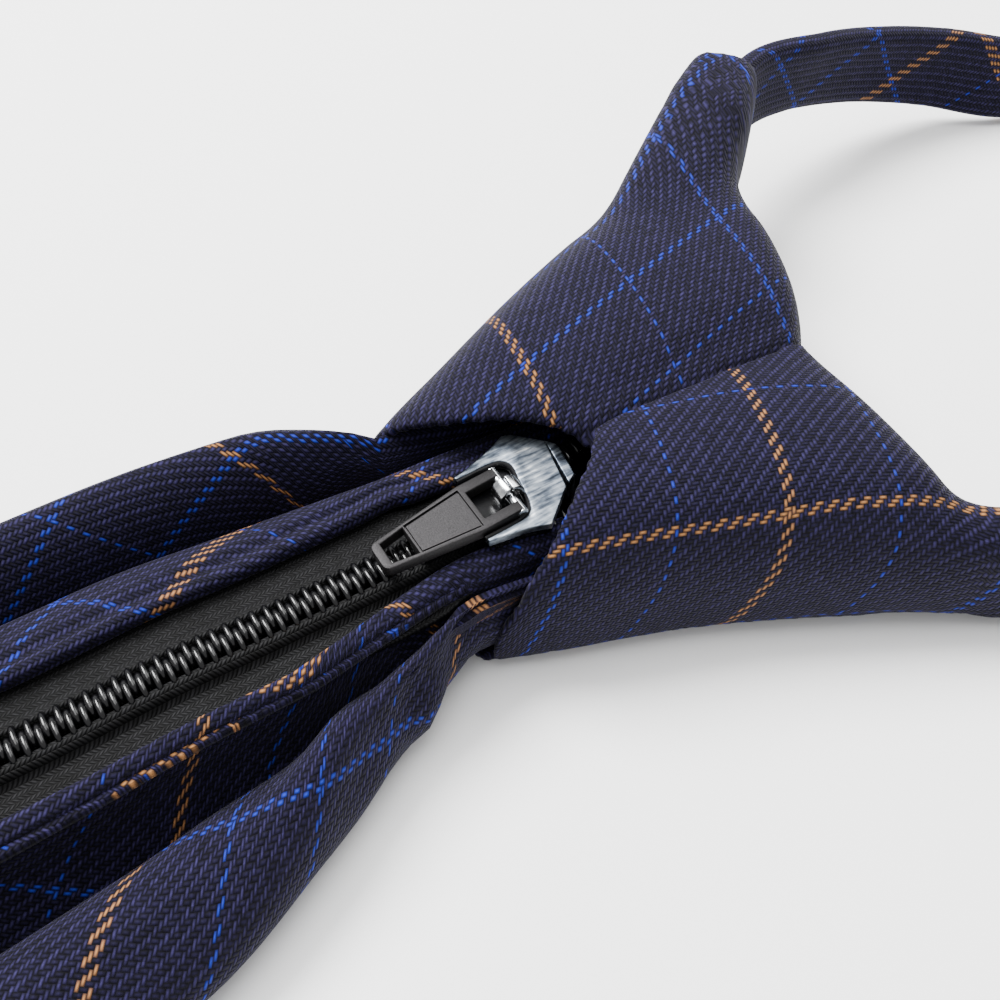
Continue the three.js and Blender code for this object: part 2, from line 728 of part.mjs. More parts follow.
function makeBand() {
  const rimY = mouthY + knotLength;
  const line = new THREE.CatmullRomCurve3(bandRows.map((row) => new THREE.Vector3(
    row.x * loopHalfWidth,
    rimY + row.y * loopReach,
    bandWidth * (0.5 + row.rise),
  )));
  const last = bandRows.length - 1;
  const corner = bandThickness / 4;
  const half = bandThickness / 2;
  const tall = bandWidth / 2;
  const section = [
    [half, -tall + corner],
    [half, tall - corner],
    [half - corner, tall],
    [corner - half, tall],
    [-half, tall - corner],
    [-half, -tall + corner],
    [corner - half, -tall],
    [half - corner, -tall],
  ];
  const rings = stations(0, 1, 56).map((t) => {
    const centre = line.getPoint(t);
    const along = line.getTangent(t);
    const i = Math.min(Math.floor(t * last), last - 1);
    const degrees = THREE.MathUtils.lerp(bandRows[i].lean, bandRows[i + 1].lean, t * last - i);
    const lean = THREE.MathUtils.degToRad(degrees);
    const up = new THREE.Vector3(0, 0, 1).applyAxisAngle(along, lean);
    up.addScaledVector(along, -up.dot(along)).normalize();
    const across = new THREE.Vector3().crossVectors(along, up);
    return section.map(([a, b]) => {
      const point = centre.clone().addScaledVector(across, a).addScaledVector(up, b);
      point.z = Math.max(point.z, 0);
      return point;
    });
  });
  return loft(rings);
}

// Assembly

const cloth = { color: '#1f2033', roughness: 0.9, metalness: 0 };
const tape = { color: '#111113', roughness: 0.85, metalness: 0 };
const coil = { color: '#18181b', roughness: 0.35, metalness: 0 };
const castMetal = { color: '#8d9299', roughness: 0.35, metalness: 1 };
const gunmetal = { color: '#4a4a4d', roughness: 0.5, metalness: 1 };

function piece(name, geometry, look) {
  const mesh = new THREE.Mesh(geometry, new THREE.MeshStandardMaterial(look));
  mesh.name = name;
  return mesh;
}

const tie = new THREE.Group();
tie.add(piece('front_blade', makeBlade(), cloth));
tie.add(piece('knot_wrap', makeKnot(), cloth));
tie.add(piece('neck_band', makeBand(), cloth));
tie.add(piece('zip_border_left', makeBorder(-1, leftBorderRows, mouthY + 10), cloth));
tie.add(piece('zip_border_right', makeBorder(1, rightBorderRows, mouthY - gap), cloth));
tie.add(piece('zip_tape_left', makeTape(-1), tape));
tie.add(piece('zip_tape_right', makeTape(1), tape));
tie.add(piece('zip_coil_left', makeCoil(-1), coil));
tie.add(piece('zip_coil_right', makeCoil(1), coil));
tie.add(piece('zip_stop', makeStop(), castMetal));

const slider = new THREE.Group();
slider.position.set(sliderX, sliderY, 0);
slider.rotation.z = THREE.MathUtils.degToRad(sliderTurn);
slider.add(piece('slider_body', makeSliderBody(), castMetal));
slider.add(piece('slider_bail', makeBail(), castMetal));
const pull = piece('pull_tab', makePull(), gunmetal);
pull.position.set(0, pinY, pinHeight);
pull.rotation.set(pullTilt, 0, THREE.MathUtils.degToRad(pullTurn), 'ZYX');
slider.add(pull);
tie.add(slider);

export default tie;
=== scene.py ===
# Zipper necktie lying face down: check cloth, black zipper tape and coil, worn slider and pull.
# Lengths are millimetres unless a note says m, and the tables of sections hold shares of them.
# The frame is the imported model's own: X across the tie, +Y towards the neck loop, Z up.

import math
from functools import partial
import bpy
import bmesh
from mathutils import Matrix, Vector


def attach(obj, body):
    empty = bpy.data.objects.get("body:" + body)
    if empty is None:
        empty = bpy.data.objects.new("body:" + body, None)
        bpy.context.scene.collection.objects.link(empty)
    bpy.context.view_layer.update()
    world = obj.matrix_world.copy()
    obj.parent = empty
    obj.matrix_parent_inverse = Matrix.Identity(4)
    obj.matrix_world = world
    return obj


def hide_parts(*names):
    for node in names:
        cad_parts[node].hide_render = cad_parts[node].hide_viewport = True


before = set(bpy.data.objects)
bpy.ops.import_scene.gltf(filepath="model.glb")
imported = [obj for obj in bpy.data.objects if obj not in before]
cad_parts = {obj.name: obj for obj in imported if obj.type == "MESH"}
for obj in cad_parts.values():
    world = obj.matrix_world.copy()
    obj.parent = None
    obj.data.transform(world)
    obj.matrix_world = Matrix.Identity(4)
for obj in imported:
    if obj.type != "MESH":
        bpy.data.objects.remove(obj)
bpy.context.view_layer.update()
mm = 0.001


# Small helpers

def hexColour(code):
    def linear(part):
        value = int(part, 16) / 255
        return value / 12.92 if value <= 0.04045 else ((value + 0.055) / 1.055) ** 2.4
    return [linear(code[1:3]), linear(code[3:5]), linear(code[5:7]), 1.0]


def addNode(tree, kind, inputs=(), out=0, **settings):  # adds a node with its settings and links
    node = tree.nodes.new("ShaderNode" + kind)
    for name, value in settings.items():
        setattr(node, name, value)
    for key, value in inputs.items() if isinstance(inputs, dict) else enumerate(inputs):
        if isinstance(value, bpy.types.NodeSocket):
            tree.links.new(value, node.inputs[key])
        else:
            node.inputs[key].default_value = value
    return node.outputs[out]


def table(columns, rows):
    return [dict(zip(columns.split(), row)) for row in rows]


def hermite(start, end, leaving, arriving, t):  # cubic between two values or points, with their slopes
    return ((1 + 2 * t) * (1 - t) ** 2 * start + t * (1 - t) ** 2 * leaving
            + t * t * (3 - 2 * t) * end + t * t * (t - 1) * arriving)


def columnAt(rows, key, at):  # smooth curve through a table's column that never overshoots
    last = len(rows) - 1
    if at <= rows[0]["at"]:
        return rows[0][key]
    if at >= rows[last]["at"]:
        return rows[last][key]
    i = next(n for n, row in enumerate(rows) if row["at"] > at) - 1

    def rate(n):
        return (rows[n + 1][key] - rows[n][key]) / (rows[n + 1]["at"] - rows[n]["at"])

    def slope(n):
        if n == 0:
            return rate(0)
        if n == last:
            return rate(last - 1)
        product = rate(n - 1) * rate(n)
        return 0 if product <= 0 else 2 * product / (rate(n - 1) + rate(n))

    span = rows[i + 1]["at"] - rows[i]["at"]
    t = (at - rows[i]["at"]) / span
    return hermite(rows[i][key], rows[i + 1][key], span * slope(i), span * slope(i + 1), t)


def ease(low, high, value):  # 0 at low, 1 at high
    t = min(max((value - low) / (high - low), 0), 1)
    return t * t * (3 - 2 * t)


def mix(a, b, t):
    return a + (b - a) * t


def smoothLine(points, count=0, closed=False, per=8):  # centripetal curve, evened out if a count is given
    points = [Vector(p) for p in points]
    n = len(points)
    dense = []
    for i in range(n if closed else n - 1):
        if closed:
            p = [points[(i + k) % n] for k in (-1, 0, 1, 2)]
        else:
            p = [points[max(i - 1, 0)], points[i], points[i + 1], points[min(i + 2, n - 1)]]
            if i == 0:
                p[0] = 2 * p[1] - p[2]
            if i == n - 2:
                p[3] = 2 * p[2] - p[1]
        d = [max((p[k + 1] - p[k]).length ** 0.5, 1e-3) for k in range(3)]
        leaving = ((p[1] - p[0]) / d[0] - (p[2] - p[0]) / (d[0] + d[1]) + (p[2] - p[1]) / d[1]) * d[1]
        arriving = ((p[2] - p[1]) / d[1] - (p[3] - p[1]) / (d[1] + d[2]) + (p[3] - p[2]) / d[2]) * d[1]
        dense += [hermite(p[1], p[2], leaving, arriving, k / per) for k in range(per)]
    dense.append(points[0] if closed else points[-1])
    return evenPoints(dense, count, closed) if count else dense


def chordAt(line, k):  # from the point before to the point after
    return line[min(k + 1, len(line) - 1)] - line[max(k - 1, 0)]


def lengthsOf(line):  # length up to each point
    found = [0.0]
    for a, b in zip(line, line[1:]):
        found.append(found[-1] + (b - a).length)
    return found


def evenPoints(dense, count, closed=False):
    lengths = lengthsOf(dense)
    steps = count if closed else count - 1
    found, i = [], 0
    for k in range(count):
        want = lengths[-1] * k / steps
        while i < len(lengths) - 2 and lengths[i + 1] < want:
            i += 1
        span = max(lengths[i + 1] - lengths[i], 1e-9)
        found.append(dense[i].lerp(dense[i + 1], min((want - lengths[i]) / span, 1)))
    return found


def objectFrom(name, bm, smooth=True):
    mesh = bpy.data.meshes.new(name)
    bm.to_mesh(mesh)
    bm.free()
    for face in mesh.polygons:
        face.use_smooth = smooth
    obj = bpy.data.objects.new(name, mesh)
    bpy.context.scene.collection.objects.link(obj)
    return obj


def gridSheet(rings, flatAt=None, closed=False, caps=False):  # sheet or tube through rows of points in mm
    columns, rows = len(rings[0]) + (1 if closed else 0), len(rings)
    bm = bmesh.new()
    uv = bm.loops.layers.uv.new("flat") if flatAt else None
    bmesh.ops.create_grid(bm, x_segments=columns - 1, y_segments=rows - 1, size=1)
    bm.verts.ensure_lookup_table()
    for vertex in bm.verts:
        row, column = divmod(vertex.index, columns)
        vertex.co = rings[row][column % len(rings[0])] * mm
    if flatAt:
        for face in bm.faces:
            for loop in face.loops:
                row, column = divmod(loop.vert.index, columns)
                loop[uv].uv = flatAt(row, column)
    if closed:
        bmesh.ops.remove_doubles(bm, verts=bm.verts, dist=1e-7)
    if caps:
        bmesh.ops.holes_fill(bm, edges=bm.edges, sides=0)
        bmesh.ops.recalc_face_normals(bm, faces=bm.faces)
    return bm


def circleAngles(count):
    return [2 * math.pi * n / count for n in range(count)]


def relax(bm, verts, times, factor=0.5):
    for _ in range(times):
        bmesh.ops.smooth_vert(bm, verts=verts, factor=factor,
                              use_axis_x=True, use_axis_y=True, use_axis_z=True)


def roundEdges(bm, edges, offset, segments):  # offset in mm
    bmesh.ops.bevel(bm, geom=edges, offset=offset * mm, segments=segments, profile=0.5, affect="EDGES",
                    material=-1)


def addModifier(obj, kind, **settings):
    modifier = obj.modifiers.new(kind.lower(), kind)
    for name, value in settings.items():
        setattr(modifier, name, value)
    return modifier


def applyModifiers(obj):
    evaluated = obj.evaluated_get(bpy.context.evaluated_depsgraph_get())
    mesh = bpy.data.meshes.new_from_object(evaluated)
    obj.modifiers.clear()
    obj.data = mesh
    return obj


def finishPiece(obj, material, body="tie", nodes=()):
    obj.data.materials.clear()
    obj.data.materials.append(material)
    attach(obj, body)
    if nodes:
        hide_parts(*nodes)
    return obj


# Camera, light and floor

view = {
    "place": (54.4, -38.4, 96.1),  # mm
    "right": (0.515, 0.857, 0.0),
    "ahead": (-0.5277, 0.3171, -0.788),
    "lens": 40.18,
    "sensor": 36,
}


def makeCamera():
    right = Vector(view["right"]).normalized()
    ahead = Vector(view["ahead"]).normalized()
    up = right.cross(ahead).normalized()
    data = bpy.data.cameras.new("camera")
    data.lens, data.sensor_width = view["lens"], view["sensor"]
    data.clip_start, data.clip_end = 0.005, 20  # m
    camera = bpy.data.objects.new("camera", data)
    camera.matrix_world = Matrix.Translation(Vector(view["place"]) * mm) @ Matrix(
        (right, up, -ahead)).transposed().to_4x4()
    bpy.context.scene.collection.objects.link(camera)
    bpy.context.scene.camera = camera


lamps = {  # place and size in m, power in W; all point at the slider
    "farWindow": ((-0.4, -0.16, 0.62), 0.4, 17.0),
    "backSoft": ((-0.25, 0.6, 0.6), 0.6, 4.5),
    "topSoft": ((-0.05, 0.0, 0.9), 0.7, 7.0),
}
studio = {"skyStrength": 0.85, "paper": "#fcfcfc", "halfWidth": 6, "drop": 0.0002}


def makeLight():
    for name, (place, size, power) in lamps.items():
        data = bpy.data.lights.new(name, "AREA")
        data.shape, data.size, data.energy = "DISK", size, power
        lamp = bpy.data.objects.new(name, data)
        lamp.location = place
        lamp.rotation_mode = "QUATERNION"
        lamp.rotation_quaternion = (-Vector(place)).to_track_quat("-Z", "Y")
        bpy.context.scene.collection.objects.link(lamp)
    world = bpy.data.worlds.new("studio")
    world.use_nodes = True
    sky = world.node_tree.nodes["Background"]
    sky.inputs["Color"].default_value = (1, 1, 1, 1)
    sky.inputs["Strength"].default_value = studio["skyStrength"]
    bpy.context.scene.world = world


def makeFloor():
    bm = bmesh.new()
    bmesh.ops.create_grid(bm, x_segments=1, y_segments=1, size=studio["halfWidth"])
    bmesh.ops.translate(bm, verts=bm.verts, vec=(0, 0, -studio["drop"]))
    floor = objectFrom("floor", bm, smooth=False)
    material, _, shader, _ = newMaterial("paperBackdrop", Roughness=0.9)  # matte white paper
    shader.inputs["Base Color"].default_value = hexColour(studio["paper"])
    floor.data.materials.append(material)


def newMaterial(name, **sockets):
    material = bpy.data.materials.new(name)
    material.use_nodes = True
    tree = material.node_tree
    shader = tree.nodes["Principled BSDF"]
    for key, value in sockets.items():
        shader.inputs[key.replace("_", " ")].default_value = value
    return material, tree, shader, partial(addNode, tree)


makeCamera()
makeLight()
makeFloor()
print("camera, light and floor made")


# Materials

twill = {
    "yarn": 0.37,  # mm between yarns, so four give the 1.05 mm ribs of a 2/2 twill across the bias
    "warpLines": 10.3,  # mm between check lines: one tan, then three blue
    "weftLines": 14.0,
    "tanWide": 1.35,
    "blueWide": 0.5,
    "dark": "#020107",
    "light": "#302b51",
    "weft": 0.36,  # how much darker the crossing yarns are, which sets off the ribs
    "tan": "#9a6c42",
    "blue": "#1e3098",
}


def tonesAlong(add, value, tones):  # colours met one after another as the value rises
    colour = hexColour(tones[0][1])
    for (low, _), (high, tone) in zip(tones, tones[1:]):
        share = add("MapRange", (value, low, high))
        colour = add("Mix", {0: share, 6: colour, 7: hexColour(tone)}, out=2, data_type="RGBA")
    return colour


def twillMaterial(name):
    # worsted melange twill: matte, with soft ribs on the bias and single-colour floats in the check lines;
    # the yarn crowns carry a painted highlight and the grooves between them painted shade
    material, tree, shader, add = newMaterial(name, Roughness=0.8, Sheen_Weight=0.04, Sheen_Roughness=0.4,
                                              Specular_IOR_Level=0.1)
    flat = add("UVMap", uv_map="flat")
    wobble = add("TexNoise", {"Vector": flat, "Scale": 0.6, "Detail": 1.0}, out="Color")
    shift = add("VectorMath", (wobble, (0.5, 0.5, 0.5)), operation="SUBTRACT")
    shift = add("VectorMath", {0: shift, 3: 0.16}, operation="SCALE")
    place = add("VectorMath", (flat, shift), operation="ADD")
    across = add("SeparateXYZ", (place,))
    u = add("Math", (across, twill["yarn"]), operation="DIVIDE")
    v = add("Math", (across.node.outputs[1], twill["yarn"]), operation="DIVIDE")
    i = add("Math", (u,), operation="FLOOR")
    j = add("Math", (v,), operation="FLOOR")
    # where the warp lies on top
    step = add("Math", (add("Math", (i, j), operation="SUBTRACT"), 4.0), operation="FLOORED_MODULO")
    warpUp = add("Math", (step, 1.5), operation="LESS_THAN")
    weftUp = add("Math", (1.0, warpUp), operation="SUBTRACT")
    # height of each yarn over its own float: round across and along
    warpAt = add("Math", (add("Math", (i, 1.0), operation="ADD"), v), operation="SUBTRACT")
    weftAt = add("Math", (u, add("Math", (j, 2.0), operation="ADD")), operation="SUBTRACT")
    heights = []
    for yarn, floatAt in ((u, warpAt), (v, weftAt)):
        inYarn = add("Math", (add("Math", (yarn,), operation="FRACT"), math.pi), operation="MULTIPLY")
        inFloat = add("Math", (floatAt, 4.0), operation="FLOORED_MODULO")
        inFloat = add("Math", (inFloat, math.pi / 2), operation="MULTIPLY")
        inFloat = add("Math", (add("Math", (inFloat,), operation="SINE"), 0.0), operation="MAXIMUM")
        inFloat = add("Math", (inFloat, 0.6), operation="POWER")
        heights.append(add("Math", (add("Math", (inYarn,), operation="SINE"), inFloat), operation="MULTIPLY"))
    high = add("Mix", {0: warpUp, 2: heights[1], 3: heights[0]})
    # melange: each float has its own tone, and streaks of fibre run along it
    cell = add("CombineXYZ", (i, j, warpUp))
    tone = add("TexWhiteNoise", {"Vector": cell}, noise_dimensions="3D")
    fibre = add("TexNoise", {"Vector": place, "Scale": 5.0, "Detail": 2.0})
    tone = add("Math", (tone, add("Math", (fibre, 1.3, 0.1), operation="MULTIPLY_ADD")), operation="MULTIPLY")
    tone = add("Math", (tone, 0.62), operation="MULTIPLY")
    # painted highlight: the crown of each yarn is coloured lighter than its flanks
    tone = add("Math", (high, 0.4, tone), operation="MULTIPLY_ADD")
    crossing = add("Math", (warpUp, 1 - twill["weft"], twill["weft"]), operation="MULTIPLY_ADD")
    tone = add("Math", (tone, crossing), operation="MULTIPLY")
    top = tonesAlong(add, tone, [(0.0, twill["dark"]), (1.0, twill["light"])])

    def inLine(number, spacing, centre, width):  # 1 where a yarn number lies in a check line
        period = 4 * spacing / twill["yarn"]
        middle = add("Math", (number, centre / twill["yarn"] - period / 2), operation="SUBTRACT")
        middle = add("Math", (middle, period), operation="FLOORED_MODULO")
        middle = add("Math", (add("Math", (middle, period / 2), operation="SUBTRACT"),), operation="ABSOLUTE")
        return add("Math", (middle, width / twill["yarn"] / 2), operation="LESS_THAN")

    # painted shade: the check lines show less of their colour where the yarn dips into a groove
    fade = add("Math", (high, 0.7, 0.25), operation="MULTIPLY_ADD")
    for number, spacing, up in ((i, twill["warpLines"], warpUp), (j, twill["weftLines"], weftUp)):
        tan = inLine(number, spacing, 0.0, twill["tanWide"])
        blue = inLine(number, spacing, spacing, twill["blueWide"])
        for nth in (2, 3):
            nextBlue = inLine(number, spacing, nth * spacing, twill["blueWide"])
            blue = add("Math", (blue, nextBlue), operation="MAXIMUM")
        for line, colour in ((tan, twill["tan"]), (blue, twill["blue"])):
            share = add("Math", (add("Math", (line, up), operation="MULTIPLY"), fade), operation="MULTIPLY")
            top = add("Mix", {0: share, 6: top, 7: hexColour(colour)}, out=2, data_type="RGBA")
    # painted shade: the colour darkens down into the grooves between yarns and floats
    groove = add("Math", (high, 0.75, 0.25), operation="MULTIPLY_ADD")
    colourWithPaintedShading = add("VectorMath", {0: top, 3: groove}, operation="SCALE")
    tree.links.new(colourWithPaintedShading, shader.inputs["Base Color"])
    relief = add("Bump", {"Height": high, "Strength": 0.7, "Distance": 0.00012})
    tree.links.new(relief, shader.inputs["Normal"])
    return material


tapeWeave = {"yarn": 0.42, "dark": "#010101", "light": "#1a1a1c"}


def tapeMaterial(name):
    # black polyester zipper tape: plain warp-knit look, small chevrons, a slight painted shine on each
    # stitch: its colour is lighter on the stitch's crown and darker between stitches
    material, tree, shader, add = newMaterial(name, Roughness=0.65, Specular_IOR_Level=0.14)
    across = add("SeparateXYZ", (add("UVMap", uv_map="flat"),))
    u = add("Math", (across, tapeWeave["yarn"]), operation="DIVIDE")
    lean = add("Math", (u, 1.0), operation="PINGPONG")  # chevrons: the stitches lean one way, then the other
    v = add("Math", (across.node.outputs[1], tapeWeave["yarn"]), operation="DIVIDE")
    v = add("Math", (v, lean), operation="ADD")
    rounds = []
    for yarn in (u, v):
        wave = add("Math", (add("Math", (yarn, math.pi), operation="MULTIPLY"),), operation="SINE")
        rounds.append(add("Math", (wave,), operation="ABSOLUTE"))
    high = add("Math", (add("Math", (rounds[0], 0.5), operation="POWER"), rounds[1]), operation="MULTIPLY")
    cell = add("CombineXYZ", (add("Math", (u,), operation="FLOOR"), add("Math", (v,), operation="FLOOR")))
    tone = add("TexWhiteNoise", {"Vector": cell}, noise_dimensions="2D")
    tone = add("Math", (tone, 0.75, 0.25), operation="MULTIPLY_ADD")
    # painted highlight and shade: the colour follows each stitch's height, times a random tone per stitch
    factor = add("Math", (high, tone), operation="MULTIPLY")
    colour = tonesAlong(add, factor, [(0.0, tapeWeave["dark"]), (1.0, tapeWeave["light"])])
    tree.links.new(colour, shader.inputs["Base Color"])
    relief = add("Bump", {"Height": high, "Strength": 0.8, "Distance": 0.00012})
    tree.links.new(relief, shader.inputs["Normal"])
    return material


def nylonMaterial():
    # drawn black nylon monofilament: smooth and glossy
    material, tree, shader, add = newMaterial("blackNylonCoil", Roughness=0.2, Specular_IOR_Level=0.45)
    noise = add("TexNoise", {"Vector": add("TexCoord", out="Object"), "Scale": 900.0, "Detail": 4.0})
    tree.links.new(tonesAlong(add, noise, [(0.35, "#030304"), (0.7, "#0c0c0e")]), shader.inputs["Base Color"])
    return material


def wornZincMaterial():
    # die-cast zinc with its paint worn off: bluish silver, streaked and scratched
    material, tree, shader, add = newMaterial("wornDieCastZinc", Metallic=1.0, Roughness=0.38)
    place = add("TexCoord", out="Object")
    cloud = add("TexNoise", {"Vector": place, "Scale": 420.0, "Detail": 6.0})
    turned = add("Mapping", {"Vector": place, "Rotation": (0, 0, 0.9), "Scale": (2600, 420, 700)})
    streak = add("TexNoise", {"Vector": turned, "Scale": 1.0, "Detail": 5.0})
    blotches = add("Math", (cloud, 0.45), operation="MULTIPLY")
    both = add("Math", (streak, 0.6, blotches), operation="MULTIPLY_ADD")
    tones = [(0.37, "#20242a"), (0.48, "#4b525c"), (0.61, "#878e96"), (0.72, "#e2e3e1")]
    tree.links.new(tonesAlong(add, both, tones), shader.inputs["Base Color"])
    tree.links.new(add("Math", (cloud, 0.5, 0.15), operation="MULTIPLY_ADD"), shader.inputs["Roughness"])
    relief = add("Bump", {"Height": both, "Strength": 0.5, "Distance": 0.0001})
    tree.links.new(relief, shader.inputs["Normal"])
    return material


def blackPaintMaterial():
    # glossy black paint baked on the casting
    material, tree, shader, add = newMaterial("glossBlackPaint", Roughness=0.22, Specular_IOR_Level=0.3)
    noise = add("TexNoise", {"Vector": add("TexCoord", out="Object"), "Scale": 700.0, "Detail": 4.0})
    tree.links.new(tonesAlong(add, noise, [(0.3, "#050506"), (0.8, "#131316")]), shader.inputs["Base Color"])
    relief = add("Bump", {"Height": noise, "Strength": 0.25, "Distance": 0.0001})
    tree.links.new(relief, shader.inputs["Normal"])
    return material


def gunmetalMaterial():
    # tumbled gunmetal plating: satin dark grey with a fine sparkle
    material, tree, shader, add = newMaterial("tumbledGunmetal", Metallic=0.85, Roughness=0.5)
    fine = add("TexNoise", {"Vector": add("TexCoord", out="Object"), "Scale": 9000.0, "Detail": 2.0})
    tree.links.new(tonesAlong(add, fine, [(0.3, "#1e1d1e"), (0.7, "#2e2d2e")]), shader.inputs["Base Color"])
    relief = add("Bump", {"Height": fine, "Strength": 0.3, "Distance": 0.00005})
    tree.links.new(relief, shader.inputs["Normal"])
    return material


def brightSteelMaterial():
    # polished steel of the bail, the pin and the bottom stop
    material, tree, shader, add = newMaterial("polishedSteelWire", Metallic=1.0, Roughness=0.18)
    noise = add("TexNoise", {"Vector": add("TexCoord", out="Object"), "Scale": 1200.0, "Detail": 4.0})
    tree.links.new(tonesAlong(add, noise, [(0.3, "#8d9095"), (0.75, "#e2e3e4")]), shader.inputs["Base Color"])
    return material


clothTwill = twillMaterial("melangeCheckTwill")
blackTape = tapeMaterial("blackPolyesterTape")
blackNylon = nylonMaterial()
wornZinc = wornZincMaterial()
blackPaint = blackPaintMaterial()
gunmetal = gunmetalMaterial()
brightSteel = brightSteelMaterial()
print("materials made")


# Knot

knot = {
    "length": 44, "halfWidth": 30, "height": 19.5, "mouthY": -12, "valleyX": -1.6,
    "wingWidth": 12.5, "wingHeight": 18, "wingRound": 0.5,
    "around": 96, "wingAround": 36, "wingSteps": 14, "cloth": 1.1, "voxel": 1.0, "overlap": 3.2,
    "lipEnd": 9, "lipFoot": 6, "lipTurn": (5, 8.5), "lipCurl": 0.5, "lipCurlWide": 2.5,
    "underfold": 1.5, "overfold": 0.25, "wingCut": 14,
}
# mm: where a wing leaves the knot, and how far round that place the join is smoothed
wingRoots = [((-30, 34, 14), 13), ((-22, 30, 10), 12), ((25, 29, 8), 9)]
knotRows = table("at left right topLeft topRight valley lift", [
    (0.00, 0.53, 0.255, 0.83, 0.72, 0.78, 0.00),
    (0.12, 0.59, 0.335, 0.93, 0.95, 0.87, 0.00),
    (0.40, 0.78, 0.490, 1.00, 1.00, 0.91, 0.00),
    (0.68, 0.98, 0.690, 1.03, 1.00, 0.87, 0.04),
    (0.86, 1.11, 0.840, 1.02, 0.95, 0.85, 0.14),
    (0.96, 1.19, 0.920, 0.98, 0.86, 0.83, 0.24),
    (1.00, 1.21, 0.940, 0.82, 0.68, 0.66, 0.29),
    (1.02, 1.21, 0.940, 0.54, 0.45, 0.42, 0.30),
])
wingRows = {
    "left": table("x y z width height", [
        (-0.73, 0.86, 0.50, 0.95, 0.95), (-0.98, 1.11, 0.67, 1.00, 0.97),
        (-1.16, 1.28, 0.78, 0.94, 0.94), (-1.31, 1.41, 0.82, 0.72, 0.84)]),
    "right": table("x y z width height", [
        (0.66, 0.86, 0.37, 0.62, 0.80), (0.86, 1.04, 0.37, 0.56, 0.80),
        (0.98, 1.18, 0.37, 0.50, 0.80), (1.07, 1.30, 0.37, 0.48, 0.80)]),
}
# lips of the mouth in mm: the left one's y by x, the right one's by x on top and by z down the flank
leftLip = table("at y", [
    (-13.6, -12.2), (-12.8, -11.0), (-10.9, -9.2), (-8.8, -6.9), (-7.3, -4.6), (-5.9, -2.2), (-4.3, 0.2),
    (-2.5, 2.4), (0.0, 4.0), (2.5, 5.0)])
rightLipTop = table("at y", [(-3.0, 6.4), (0.9, 3.4), (2.9, 1.3), (5.1, -1.4), (6.0, -2.6), (7.5, -4.8)])
rightLipSide = table("at y", [
    (0.0, -12.4), (2.5, -12.2), (4.8, -11.6), (7.3, -10.7), (9.8, -9.6), (11.7, -8.8), (13.7, -7.9),
    (15.3, -6.9), (16.6, -5.9), (17.5, -4.8), (18.2, -3.9)])


def knotSection(at):
    row = {key: columnAt(knotRows, key, at) for key in knotRows[0] if key != "at"}
    left, right = row["left"] * knot["halfWidth"], row["right"] * knot["halfWidth"]
    valley = row["valley"] * knot["height"]

    def side(reach, share):
        top = share * knot["height"]
        return [(reach * 0.18, (valley + 3 * top) / 4), (reach * 0.45, top), (reach * 0.78, top * 0.92),
                (reach * 0.96, top * 0.66), (reach, top * 0.38), (reach * 0.97, top * 0.12),
                (reach * 0.88, 0), (reach * 0.4, 0)]

    y = knot["mouthY"] + at * knot["length"]
    corners = [(knot["valleyX"], y, valley)]
    corners += [(knot["valleyX"] + x, y, z) for x, z in side(right - knot["valleyX"], row["topRight"])]
    toLeft = side(left + knot["valleyX"], row["topLeft"])
    corners += [(knot["valleyX"] - x, y, z) for x, z in reversed(toLeft)]
    ring = smoothLine(corners, knot["around"], closed=True)
    for point in ring:
        point.z = max(point.z, 0)
        share = min(max((knot["valleyX"] - point.x) / left, 0), 1)
        point.y += row["lift"] * knot["length"] * share ** 0.65
    return ring


def wingCentre(row):
    return Vector((row["x"] * knot["halfWidth"], knot["mouthY"] + row["y"] * knot["length"],
                   row["z"] * knot["height"]))


def wingRings(rows):
    centres = [wingCentre(row) for row in rows]
    centres[0] += (centres[0] - centres[1]).normalized() * 1.5
    line = smoothLine(centres, knot["wingSteps"])
    rings = []
    for k, centre in enumerate(line):
        ahead = chordAt(line, k)
        ahead.z = 0
        ahead.normalize()
        across = Vector((ahead.y, -ahead.x, 0))
        place = k / (len(line) - 1) * (len(rows) - 1)
        i = min(int(place), len(rows) - 2)
        wide = mix(rows[i]["width"], rows[i + 1]["width"], place - i) * knot["wingWidth"] / 2
        high = mix(rows[i]["height"], rows[i + 1]["height"], place - i) * knot["wingHeight"] / 2
        ring = []
        for angle in circleAngles(knot["wingAround"]):
            c, s = math.cos(angle), math.sin(angle)
            point = centre + across * wide * math.copysign(abs(c) ** knot["wingRound"], c)
            point.z = max(centre.z + high * math.copysign(abs(s) ** knot["wingRound"], s), 0)
            ring.append(point)
        rings.append(ring)
    return rings


def wingEnd(rows):
    start, end = wingCentre(rows[-2]), wingCentre(rows[-1])
    out = end - start
    out.z = 0
    return end, out.normalized()


def lipY(x, z, side):
    if side == "left":
        return mix(knot["mouthY"], columnAt(leftLip, "y", x), min(z / knot["lipFoot"], 1))
    return mix(columnAt(rightLipTop, "y", x), columnAt(rightLipSide, "y", z), ease(*knot["lipTurn"], x))


